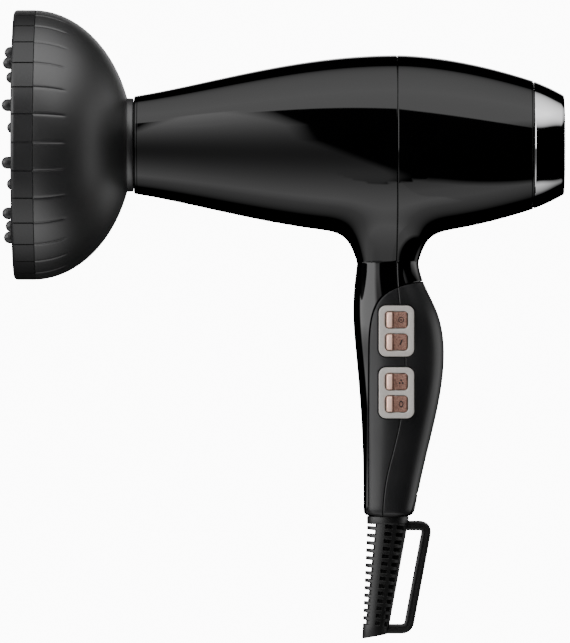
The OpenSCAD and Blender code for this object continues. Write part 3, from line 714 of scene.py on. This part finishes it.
def polished_ring():
    """A slightly crowned cone with rounded edges, hollow over the collar."""
    slope = (SEAM_R - RING_END_R) / (REAR_X - SEAM_X)
    start, end = RING_X + RING_EDGE, REAR_X - RING_EDGE
    body = [
        (SEAM_R - slope * (start + (end - start) * t - SEAM_X) + RING_CROWN * math.sin(math.pi * t),
         start + (end - start) * t)
        for t in np.linspace(0, 1, 11)
    ]
    socket = (COLLAR_OUT + RING_GAP, RING_X + RING_SOCKET)
    inside = RING_END_R - RING_WALL
    outline = [socket, (socket[0], RING_X), (body[0][0] - RING_EDGE, RING_X)]
    outline += [(body[0][0] - RING_EDGE * 0.3, RING_X + RING_EDGE * 0.3)] + body
    outline += [(RING_END_R - RING_EDGE * 0.2, REAR_X - RING_EDGE * 0.3), (RING_END_R - RING_EDGE, REAR_X)]
    outline += [(inside, REAR_X), (inside, REAR_X - 2.5), (socket[0] - 2.4, socket[1] + 0.7), socket]
    points, faces = lathe(outline, 192)
    mesh = new_mesh("polished_ring", points, faces, 30)
    piece = link(mesh, POLISHED, "rear_filter", "polished_ring")
    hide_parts("rear_trim_ring")


# ---------------------------------------------------------------- diffuser

NECK_R = 23.4
NECK_LEN = 3.0
NECK_BORE_R = 20.8
BOWL_WALL = 2.0
FINGERS_PROUD = 5
RIM_LEN = 11
RIM_SEAM = low("diffuser_front", X) + FINGERS_PROUD + RIM_LEN
DOME_CENTRE = RIM_SEAM - 1.5
GROOVES = 30
GROOVE_DEEP = 0.3
GROOVE_HALF = 0.42
GROOVE_LEN = 16.5
GROOVE_END = RIM_SEAM + GROOVE_LEN
# Degrees from the middle of a groove at which the surface has points
GROOVE_ANGLES = (-6, -3.4, -1.5, -0.75, -0.45, -0.22, 0, 0.22, 0.45, 0.75, 1.5, 3.4)


def groove_turn():
    return np.radians(np.concatenate([np.array(GROOVE_ANGLES) + k * 360 / GROOVES for k in range(GROOVES)]))


def grooved(outline, row_fade):
    """A turned surface with fine grooves along it; row_fade gives the groove's depth share on each row."""
    turn = groove_turn()
    half_pitch = 180 / GROOVES
    away = np.abs((np.degrees(turn) + half_pitch) % (2 * half_pitch) - half_pitch)
    dip = GROOVE_DEEP * np.exp(-((away / GROOVE_HALF) ** 2))
    points = []
    for (r, x), share in zip(outline, row_fade):
        for a, d in zip(turn, dip):
            points.append((x, (r - d * share) * math.cos(a), AXIS_Z + (r - d * share) * math.sin(a)))
    return points, grid_faces(len(outline), len(turn))


def diffuser_bowl():
    """A grooved dome from the rim's seam to the neck that slips over the nozzle."""
    end = math.acos(NECK_R / DIFFUSER_R)
    dome_len = (DIFFUSER_BACK - NECK_LEN - DOME_CENTRE) / math.sin(end)
    start = math.asin((RIM_SEAM + 0.4 - DOME_CENTRE) / dome_len)
    dome = [
        (DIFFUSER_R * math.cos(a), DOME_CENTRE + dome_len * math.sin(a))
        for a in np.linspace(start, end, 64)
    ]
    inner = [
        ((DIFFUSER_R - BOWL_WALL) * math.cos(a), DOME_CENTRE + (dome_len - BOWL_WALL) * math.sin(a))
        for a in np.linspace(end - 0.02, start, 30)
    ]
    seam = [(dome[0][0] - 2.0, RIM_SEAM + 0.15), (dome[0][0] - 0.25, RIM_SEAM + 0.15)]
    neck = [
        (NECK_R + 0.1, DIFFUSER_BACK - NECK_LEN + 0.5), (NECK_R, DIFFUSER_BACK - 0.4),
        (NECK_R - 0.3, DIFFUSER_BACK), (NECK_BORE_R, DIFFUSER_BACK), (NECK_BORE_R, DIFFUSER_BACK - 9.5),
        (22.8, DIFFUSER_BACK - 9.7), (NECK_R, DIFFUSER_BACK - 8.5),
    ]
    outline = seam + dome + neck + inner + seam[:1]
    reach = GROOVE_END - RIM_SEAM
    fade = []
    for k, (r, x) in enumerate(outline):
        on_dome = len(seam) - 1 <= k < len(seam) + len(dome)
        fade.append(float(np.clip((GROOVE_END - x) / (0.12 * reach), 0, 1)) if on_dome else 0.0)
    points, faces = grooved(outline, fade)
    mesh = new_mesh("diffuser_dome", points, faces, 35)
    piece = link(mesh, SATIN_BLACK, "diffuser", "satin_black")
    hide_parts("diffuser_bowl")


# ---------------------------------------------------------------- switches

BEZEL_BEVEL = 0.5
WELL_STEP = 0.2
WELL_BACK = -14.2
WELL_INSET = 0.5
WELL_GAP = 0.02
WELL_BEVEL = 0.1
WINDOW_W = 11.7
WINDOW_H = 8.7
WINDOW_ROUND = 2.2
ROCKER_W = 10.4
ROCKER_H = 8.1
LIP_H = 7.7
LIP_CORNER = 1.5
PAD_CORNER = 0.75
ROCKER_ROUND = 0.8
ROCKER_BACK = 1.6
REST_TURN = math.radians(7)
LIP_FRONT = -3.8
LIP_ROUND = 0.7
CREASE_DEEP = -1.2
LIP_END = -2.4
CREASE_X = -1.8
CREASE_Y = -2.75
PAD_LOW = -2.55
PAD_END = -3.1
ROCKER_JOINTS = {
    "ion_rocker": "ion_press",
    "boost_rocker": "boost_press",
    "speed_rocker": "speed_press",
    "heat_rocker": "heat_press",
}


def facing_switch_side(points, corners):
    """The triangle with its corners in the order that faces -Y."""
    a, b, c = (np.array(points[k]) for k in corners)
    return corners if np.cross(b - a, c - a)[1] < 0 else corners[::-1]


def plate(name, edge, holes, front, back, bevel, material, body, slot):
    """A flat plate across Y with rounded front edges; edge and each hole are (cx, cz, w, h, r)."""
    turns = np.linspace(0, math.pi / 2, 5)
    rows = [(bevel * (1 - math.sin(a)), front + bevel * (1 - math.cos(a))) for a in turns]
    rows.append((0, back))
    points, faces, front_loops, back_loops = [], [], [], []
    for k, (cx, cz, w, h, r) in enumerate([edge, *holes]):
        grow = -1 if k == 0 else 1
        first = len(points)
        for inset, y in rows:
            d = grow * inset
            points += [(x, y, z) for x, z in round_box(cx, cz, w + 2 * d, h + 2 * d, r + d)]
        count = (len(points) - first) // len(rows)
        walls = [[first + corner for corner in face] for face in grid_faces(len(rows), count)]
        faces += [face[::-1] for face in walls] if k == 0 else walls
        front_loops.append(range(first, first + count))
        back_loops.append(range(len(points) - count, len(points)))
    for loops, towards in ((front_loops, 1), (back_loops, -1)):
        order = [index for loop in loops for index in loop]
        for triangle in tessellate_polygon([[Vector(points[i]) for i in loop] for loop in loops]):
            faces.append(facing_switch_side(points, [order[corner] for corner in triangle])[::towards])
    return link(new_mesh(name, points, faces), material, body, slot)


def bezels():
    rows = {"upper_bezel": ("ion_press", "boost_press"), "lower_bezel": ("speed_press", "heat_press")}
    for name, joints in rows.items():
        cx, cz = middle(name, X), middle(name, Z)
        w, h = high(name, X) - low(name, X), high(name, Z) - low(name, Z)
        edge = (cx, cz, w, h, BEZEL_ROUND)
        pins = [JOINTS[joint]["pos_m"][Z] / MM for joint in joints]
        holes = [(cx, pin_z, WINDOW_W, WINDOW_H, WINDOW_ROUND) for pin_z in pins]
        piece = plate(
            name + "_plate", edge, holes, low(name, Y), high(name, Y), BEZEL_BEVEL,
            SATIN_SILVER, "casing", "satin_silver"
        )
        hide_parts(name)
        # Behind each bezel a black plate lines the switch windows: the pocket's walls, black also as painted shade
        # so the gaps round the rockers read dark
        wide, tall = WINDOW_W + 2 * WELL_STEP, WINDOW_H + 2 * WELL_STEP
        shade_wells = [(cx, pin_z, wide, tall, WINDOW_ROUND) for pin_z in pins]
        inside = (cx, cz, w - 2 * WELL_INSET, h - 2 * WELL_INSET, BEZEL_ROUND - WELL_INSET)
        plate(
            name + "_shade_well", inside, shade_wells, high(name, Y) + WELL_GAP, WELL_BACK, WELL_BEVEL,
            LAP_AND_SHADE_BLACK, "casing", "gloss_black"
        )


def pad_front(x):
    """Front of the dished pad at a distance from the pin."""
    t = np.clip((x - CREASE_X) / (ROCKER_W / 2 - ROCKER_ROUND - CREASE_X), 0, 1)
    return CREASE_Y + (PAD_LOW - CREASE_Y) * math.sin(math.pi * t) + (PAD_END - CREASE_Y) * t**2


def rocker_profile():
    """Front face of a rocker across its pin: (x, y, inset at the rounded ends)."""
    half = ROCKER_W / 2
    turns = np.radians(np.linspace(0, 90, 5))
    ends = [(ROCKER_ROUND * (1 - math.cos(a)), ROCKER_ROUND * (1 - math.sin(a))) for a in turns]
    pad = [(x, pad_front(x)) for x in np.linspace(CREASE_X, half - ROCKER_ROUND, 12)]
    profile = [(-half + along, LIP_FRONT, inset) for along, inset in ends]
    lip_side = LIP_END - LIP_ROUND
    lip = [(lip_side + LIP_ROUND * math.sin(a), LIP_FRONT + LIP_ROUND * (1 - math.cos(a))) for a in turns]
    profile += [(x, y, 0) for x, y in lip]
    profile += [(LIP_END + 0.05, CREASE_DEEP, 0), (CREASE_X - 0.05, CREASE_DEEP, 0)]
    profile += [(x, y, 0) for x, y in pad]
    profile += [(half - along, PAD_END, inset) for along, inset in ends[-2::-1]]
    return profile


def on_rocker(points, pin):
    """Points of a level rocker turned to its rest position about its pin."""
    c, s = math.cos(REST_TURN), math.sin(REST_TURN)
    return [(pin[0] + c * x - s * y, pin[1] + s * x + c * y, pin[2] + z) for x, y, z in points]


def rocker(node_name, body, pin):
    points = []
    profile = rocker_profile()
    for x, front, inset in profile:
        on_lip = x < LIP_END
        half = (LIP_H if on_lip else ROCKER_H) / 2 - inset
        y = front + inset
        r = LIP_CORNER if on_lip else PAD_CORNER
        section = [(ROCKER_BACK, -half)] + [
            (y + r - r * math.cos(a), -half + r - r * math.sin(a)) for a in np.radians(np.linspace(90, 0, 5))
        ]
        section += [(b, -z) for b, z in section[::-1]]
        points += [(x, b, z) for b, z in section]
    columns = len(points) // len(profile)
    faces = [face[::-1] for face in grid_faces(len(profile), columns)]
    faces.append(list(range(columns)))
    faces.append(list(range(len(points) - columns, len(points)))[::-1])
    mesh = new_mesh(node_name + "_key", on_rocker(points, pin), faces, 35)
    piece = link(mesh, ROSE_GOLD_WITH_PAINTED_HIGHLIGHT, body, "rose_gold")
    # The lip keeps the light rose gold with its painted highlight; the crease and the pad take the dark copy as
    # painted shade
    mesh.materials.append(ROSE_PAD_PAINTED_SHADE)
    for face in mesh.polygons:
        face.material_index = int(face.center[0] / MM > pin[0] + LIP_END + 0.25)
    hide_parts(node_name)


def ring_band(cx, cz, outer, inner, tall=1.0):
    """Outline pair (x, z) of a ring or an oval ring."""
    turns = np.linspace(0, 2 * math.pi, 32, endpoint=False)
    return [[(cx + r * math.cos(a), cz + tall * r * math.sin(a)) for a in turns] for r in (outer, inner)]


def icon(name, outlines, body, pin):
    """A thin dark mark on a rocker's pad. Each outline is one shape, or a pair for a ring."""
    points, faces = [], []
    proud, sunk = -0.07, 0.3
    for outline in outlines:
        n = len(outline[0])
        first = len(points)
        inner = outline[1] if len(outline) > 1 else [np.mean(outline[0], axis=0)] * n
        for loop, lift in ((outline[0], sunk), (outline[0], proud), (inner, proud), (inner, sunk)):
            points += [(x, pad_front(x) + lift, z) for x, z in loop]
        faces += [[first + corner for corner in face] for face in grid_faces(4, n)]
        last = first + 3 * n
        faces += [[last + k, last + (k + 1) % n, first + (k + 1) % n, first + k] for k in range(n)]
    mesh = new_mesh(name, on_rocker(points, pin), faces, 30)
    tidy(mesh)
    link(mesh, ICON_DARK, body, "rose_gold")


# Middle of the marks from the pin, and the width of their strokes
MARK_X = 2.0
STROKE = 0.4


def dot(x, z, r):
    return ring_band(x, z, r, r)[:1]


def rocker_marks():
    """Generic marks: a ring with a dot, a slanting bar, three dots and a tall oval."""
    lean, stroke, half_high = 0.5, 2 * STROKE, 1.3
    bar = [
        (MARK_X - lean - STROKE, -half_high), (MARK_X - lean - STROKE + stroke, -half_high),
        (MARK_X + lean + STROKE, half_high), (MARK_X + lean + STROKE - stroke, half_high),
    ]
    side, above, below = 0.75, 0.75, -0.65
    return {
        "ion_rocker": [ring_band(MARK_X, 0, 1.45, 1.45 - STROKE), dot(MARK_X, 0, STROKE)],
        "boost_rocker": [[bar]],
        "speed_rocker": [dot(MARK_X + x, z, 0.5) for x, z in ((0, above), (-side, below), (side, below))],
        "heat_rocker": [ring_band(MARK_X, 0, 1.05, 1.05 - STROKE, 1.6)],
    }


def rockers():
    icons = rocker_marks()
    for name, joint in ROCKER_JOINTS.items():
        pin = [v / MM for v in JOINTS[joint]["pos_m"]]
        rocker(name, name, pin)
        icon(name + "_mark", icons[name], name, pin)


# ---------------------------------------------------------------- strain relief and hanging loop

RELIEF_X = middle("terminal_block", X)
RELIEF_LEAN = math.radians(6.4)
RELIEF_ROOT = HANDLE_BOTTOM - 2
COLLAR_R = 10.45
COLLAR_LEN = 4
CORD_R = 3.65
SLEEVE_LEN = 58.5
SLEEVE_R = (10.25, 6.25)
CORE_R = (5.9, 5.2)
SLOTS = 14
FIRST_SLOT = 3.0
SLOT_PITCH = 3.75
SLOT_WIDE = 1.95
RIB_ROUND = 0.22
END_COLLAR = 53.3
END_SLANT = 1.9
# Webs that join the ribs, as angles from the switch side towards the loop: middle, half the width
WEBS = ((-19, 12.8), (22, 6.7), (90, 30), (158, 6.7), (199, 12.8))


def sleeve():
    """A tapered ribbed tube that leans forward, with a slanted end."""
    edges = sorted(a + side * half for a, half in WEBS for side in (-1, 1))
    turns = [float(a) for a in np.arange(-120, 240, 6)]
    turns += [e + shift for e in edges for shift in (-0.4, 0.4)]
    turns = sorted(turns)
    solid = [any(abs(a - web) < half for web, half in WEBS) for a in turns]
    rows = [(0.0, 0, 0.0)]
    for k in range(SLOTS):
        start = FIRST_SLOT + SLOT_PITCH * k - SLOT_WIDE / 2
        stop = start + SLOT_WIDE
        rows += [(start - RIB_ROUND, 0, 0), (start, 0, RIB_ROUND), (start + 0.02, 1, 0)]
        rows += [(stop - 0.02, 1, 0), (stop, 0, RIB_ROUND), (stop + RIB_ROUND, 0, 0)]
    rows += [(END_COLLAR, 0, 0), (SLEEVE_LEN - 0.6, 0, 0), (SLEEVE_LEN - 0.15, 0, 0.2), (SLEEVE_LEN, 0, 0.6)]
    points = []

    def ring(s, radii):
        share = np.clip((s - END_COLLAR) / (SLEEVE_LEN - END_COLLAR), 0, 1)
        for a, r in zip(np.radians(turns), radii):
            x, y = r * math.sin(a), -r * math.cos(a)
            z = -s + END_SLANT * share * x / SLEEVE_R[1]
            points.append((
                RELIEF_X + x * math.cos(RELIEF_LEAN) + z * math.sin(RELIEF_LEAN),
                y,
                RELIEF_ROOT - x * math.sin(RELIEF_LEAN) + z * math.cos(RELIEF_LEAN),
            ))

    for s, sunk, drop in rows:
        t = s / SLEEVE_LEN
        outer = SLEEVE_R[0] + (SLEEVE_R[1] - SLEEVE_R[0]) * t
        core = CORE_R[0] + (CORE_R[1] - CORE_R[0]) * t
        web_r = outer if s < END_COLLAR else outer - drop
        slot_r = core if sunk else outer - drop
        ring(s, [web_r if web else slot_r for web in solid])
    ring(SLEEVE_LEN, [CORD_R] * len(turns))
    ring(0.0, [CORD_R] * len(turns))
    columns = len(turns)
    count = len(points) // columns
    faces = grid_faces(count, columns)
    faces += [[(count - 1) * columns + k, (count - 1) * columns + (k + 1) % columns, (k + 1) % columns, k]
              for k in range(columns)]
    mesh = new_mesh("relief_sleeve", points, faces, 35)
    tidy(mesh)
    piece = link(mesh, RUBBER, "casing", "relief_rubber")
    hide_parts("strain_relief")


def collar():
    top, bottom = HANDLE_BOTTOM + 0.1, HANDLE_BOTTOM - COLLAR_LEN
    edge = 0.6
    outline = [(CORD_R + 1, top), (COLLAR_R - edge, top)]
    outline += arc(COLLAR_R - edge, top - edge, edge, 90, 0, 4)
    outline += arc(COLLAR_R - edge, bottom + edge, edge, 0, -90, 4)
    outline += [(CORD_R + 1, bottom)]
    turns = np.linspace(0, 2 * math.pi, 96, endpoint=False)
    points = [(RELIEF_X + r * math.cos(a), r * math.sin(a), z) for r, z in outline for a in turns]
    faces = grid_faces(len(outline), len(turns))
    n, last = len(turns), (len(outline) - 1) * len(turns)
    faces += [[last + k, last + (k + 1) % n, (k + 1) % n, k] for k in range(n)]
    mesh = new_mesh("relief_collar", points, faces, 35)
    tidy(mesh)
    link(mesh, RUBBER, "casing", "relief_rubber")


def rounded_path(corners, steps=8):
    """Points along straight stretches whose corners (x, z, cut) are rounded over the length cut."""
    path = []
    for k, (x, z, cut) in enumerate(corners):
        p = np.array([x, z])
        if not cut:
            path.append(p)
            continue
        a = p + cut * unit(np.array(corners[k - 1][:2]) - p)
        b = p + cut * unit(np.array(corners[k + 1][:2]) - p)
        path += [(1 - t) ** 2 * a + 2 * t * (1 - t) * p + t**2 * b for t in np.linspace(0, 1, steps)]
    return np.array(path)


def bar_section(wide, deep, r, slot_wide, slot_deep):
    """Outline (across, along Y) of a bar with round corners and a groove down each flat side."""
    outline = []
    for sx, sy, turn in BOX_CORNERS:
        outline += arc(sx * (wide / 2 - r), sy * (deep / 2 - r), r, turn, turn + 90, 5)
        if (sx, sy) in ((1, 1), (-1, -1)):
            flat, floor = sy * deep / 2, sy * (deep / 2 - slot_deep)
            half = sx * slot_wide / 2
            outline += [(half, flat), (half * 0.75, floor), (-half * 0.75, floor), (-half, flat)]
    return outline


# The hanging loop: x of its two ends and two corners, and its top and bottom from the foot of the handle
LOOP_ROOTS = (-4, -10)
LOOP_CORNERS = (13.7, 4.05)
LOOP_ROUND = (4.4, 3.6)
LOOP_TOP = HANDLE_BOTTOM - 4.75
LOOP_BOTTOM = HANDLE_BOTTOM - 56.4
LOOP_SECTION = {"wide": 4.9, "deep": 4.4, "r": 1.3, "slot_wide": 1.6, "slot_deep": 0.5}


def hanging_loop():
    """A bar bent from the collar, down beside the sleeve and back to its end."""
    path = rounded_path([
        (LOOP_ROOTS[0], LOOP_TOP, 0), (LOOP_CORNERS[0], LOOP_TOP, LOOP_ROUND[0]),
        (LOOP_CORNERS[1], LOOP_BOTTOM, LOOP_ROUND[1]), (LOOP_ROOTS[1], LOOP_BOTTOM, 0),
    ])
    tangent = unit(np.gradient(path, axis=0))
    normal = np.stack([-tangent[:, 1], tangent[:, 0]], axis=1)
    section = bar_section(**LOOP_SECTION)
    points = [
        (p[0] + a * n[0], b, p[1] + a * n[1])
        for p, n in zip(path, normal)
        for a, b in section
    ]
    columns = len(section)
    faces = grid_faces(len(path), columns)
    faces.append(list(range(columns)))
    faces.append(list(range(len(points) - columns, len(points)))[::-1])
    mesh = new_mesh("hanging_loop", points, faces, 35)
    tidy(mesh)
    mesh.set_sharp_from_angle(angle=math.radians(35))
    link(mesh, RUBBER, "casing", "relief_rubber")


# ---------------------------------------------------------------- camera and studio

def scene_camera():
    """A long lens square to the switch side, framed like a product photograph."""
    width_mm = 285.0
    distance_m = 4.5
    camera = bpy.data.cameras.new("camera")
    camera.sensor_fit = "HORIZONTAL"
    camera.sensor_width = 36
    camera.lens = 36 * distance_m / (width_mm * MM)
    holder = bpy.data.objects.new("camera", camera)
    holder.location = (-57.5 * MM, -distance_m, 24.25 * MM)
    holder.rotation_euler = (math.pi / 2, 0, 0)
    camera.clip_end = 60
    bpy.context.scene.collection.objects.link(holder)
    bpy.context.scene.camera = holder


class Value:
    """A number worked out by Math nodes, written as ordinary arithmetic."""

    def __init__(self, tree, socket):
        self.tree = tree
        self.socket = socket

    def by(self, operation, other=None):
        made = self.tree.nodes.new("ShaderNodeMath")
        made.operation = operation
        self.tree.links.new(self.socket, made.inputs[0])
        if isinstance(other, Value):
            self.tree.links.new(other.socket, made.inputs[1])
        elif other is not None:
            made.inputs[1].default_value = other
        return Value(self.tree, made.outputs[0])

    def __add__(self, other):
        return self.by("ADD", other)

    def __sub__(self, other):
        return self.by("SUBTRACT", other)

    def __mul__(self, other):
        return self.by("MULTIPLY", other)

    def __truediv__(self, other):
        return self.by("DIVIDE", other)

    def ramp(self, start, end):
        """0 at start and 1 at end, straight between them and level beyond."""
        made = self.tree.nodes.new("ShaderNodeMapRange")
        made.inputs["From Min"].default_value = start
        made.inputs["From Max"].default_value = end
        self.tree.links.new(self.socket, made.inputs["Value"])
        return Value(self.tree, made.outputs["Result"])


# Brightness of the light panels
OVERHEAD_LIGHT = 1.95
BELOW_LIGHT = 1.2
OUTLET_LIGHT = 3.7
INTAKE_LIGHT = 1.6
BEHIND_LIGHT = 1.5
# Least height or distance to divide a direction by
LEAST = 0.02


# Each panel is worked out from a direction (x, y, z) of length 1. Its ramps are the soft edges.

def overhead_panel(x, y, z):
    """Level panel over the object, with a slanting front edge; it fades away from the camera."""
    up = z.by("MAXIMUM", LEAST)
    across, deep = x / up, y / up
    overhead = (across * 0.43 + deep).ramp(-0.97, -0.93) * deep.ramp(0.62, -0.3).by("POWER", 0.6)
    return overhead * z.ramp(0.0, 0.04) * across.ramp(-2.4, -2.1) * across.ramp(1.6, 0.9) * OVERHEAD_LIGHT


def panel_below(x, y, z):
    """The lit part of the studio's floor, towards the camera and the outlet."""
    down = (z * -1).by("MAXIMUM", LEAST)
    across, deep = x / down, y / down
    below = (across - deep * 0.45).ramp(0.81, 0.65) * deep.ramp(-1.75, -0.5).by("POWER", 1.3)
    return below * deep.ramp(0.5, -0.2) * z.ramp(0.0, -0.04) * BELOW_LIGHT


def outlet_side_panel(x, y, z):
    """Tall panel on the outlet side: faint towards the camera, bright beside the object."""
    edge = (y * 0.222 - x - z * 0.37 + z.ramp(0.1, 0.45) * 0.085).ramp(0.0, 0.06)
    edge = edge * z.ramp(0.86, 0.8) * y.ramp(0.26, 0.16)
    faint = (z * z * 2.4 + z * 1.1 + 0.42) * y.ramp(0.25, -0.2)
    turn = (x * -1).by("ARCTAN2", y * -1)
    strong = turn.ramp(math.radians(28), math.radians(38)) * z.ramp(-0.13, -0.05) * z.ramp(0.6, 0.45)
    return edge * (faint + (faint * -1 + OUTLET_LIGHT) * strong)


def intake_side_panel(x, y, z):
    """Low panel on the intake side, for the rim of the handle."""
    level = ((x * x) + (y * y)).by("SQRT").by("MAXIMUM", LEAST)
    intake_side = (y / level).ramp(-0.16, -0.02) * (x / level).ramp(0.42, 0.58)
    return intake_side * (y / level).ramp(0.8, 0.5) * z.by("ABSOLUTE").ramp(0.4, 0.2) * INTAKE_LIGHT


def panel_behind(x, y, z):
    """Narrow panel far behind, for the side away from the camera."""
    return y.ramp(0.92, 0.96) * z.ramp(0.03, 0.09) * BEHIND_LIGHT


def studio_panels():
    """The light panels round the object; it is dark between them."""
    world = bpy.data.worlds.new("studio")
    bpy.context.scene.world = world
    world.use_nodes = True
    tree = world.node_tree
    parts = tree.nodes.new("ShaderNodeSeparateXYZ")
    tree.links.new(tree.nodes.new("ShaderNodeTexCoord").outputs["Generated"], parts.inputs["Vector"])
    direction = [Value(tree, parts.outputs[k]) for k in range(3)]
    total = overhead_panel(*direction)
    for other in (panel_below, outlet_side_panel, intake_side_panel, panel_behind):
        total = total.by("MAXIMUM", other(*direction))
    tree.links.new(total.socket, tree.nodes["Background"].inputs["Strength"])
    tree.nodes["Background"].inputs["Color"].default_value = (1, 1, 1, 1)


def fill_light(name, location, power):
    """A large soft lamp that lights matt surfaces and shows in no reflection."""
    data = bpy.data.lights.new(name, "AREA")
    data.shape = "SQUARE"
    data.size = 2.0
    data.energy = power
    lamp = bpy.data.objects.new(name, data)
    lamp.location = location
    lamp.rotation_euler = (Vector((-0.05, 0, 0.05)) - Vector(location)).to_track_quat("-Z", "Y").to_euler()
    lamp.visible_glossy = False
    bpy.context.scene.collection.objects.link(lamp)


def room():
    """A plain pale floor that curves up into a round wall and a roof. Only the camera sees it."""
    floor_m = -9
    roof_m = 11
    wall_m = 11
    curve_m = 4
    profile = [(0.0, floor_m), (wall_m - curve_m, floor_m)]
    profile += [
        (wall_m - curve_m + curve_m * math.sin(a), floor_m + curve_m - curve_m * math.cos(a))
        for a in np.radians(np.linspace(6, 90, 12))
    ]
    profile += [(wall_m, roof_m - 1), (0.0, roof_m)]
    turns = np.linspace(0, 2 * math.pi, 64, endpoint=False)
    points = [(r * math.cos(a), r * math.sin(a), z) for r, z in profile for a in turns]
    mesh = bpy.data.meshes.new("room")
    mesh.from_pydata(points, [], grid_faces(len(profile), len(turns)))
    mesh.polygons.foreach_set("use_smooth", [True] * len(mesh.polygons))
    tidy(mesh)
    paper = finish("paper", (0.8, 0.8, 0.8), (0.84, 0.84, 0.84), (0.8, 0.9), scale=3)
    shader = paper.node_tree.nodes["Principled BSDF"]
    shader.inputs["Emission Color"].default_value = (1, 1, 1, 1)
    shader.inputs["Emission Strength"].default_value = 11
    mesh.materials.append(paper)
    sheet = bpy.data.objects.new("room", mesh)
    sheet.visible_glossy = False
    sheet.visible_diffuse = False
    sheet.visible_shadow = False
    bpy.context.scene.collection.objects.link(sheet)


def studio():
    room()
    studio_panels()
    fill_light("front_fill", (-0.1, -2.5, 0.4), 46)
    fill_light("back_fill", (0.2, 2.5, 0.6), 40)


def main():
    scene_camera()
    casing()
    rim_of_nozzle()
    rim_of_seam()
    polished_ring()
    diffuser_bowl()
    bezels()
    rockers()
    collar()
    sleeve()
    hanging_loop()
    dress_frame_nodes()
    studio()


main()
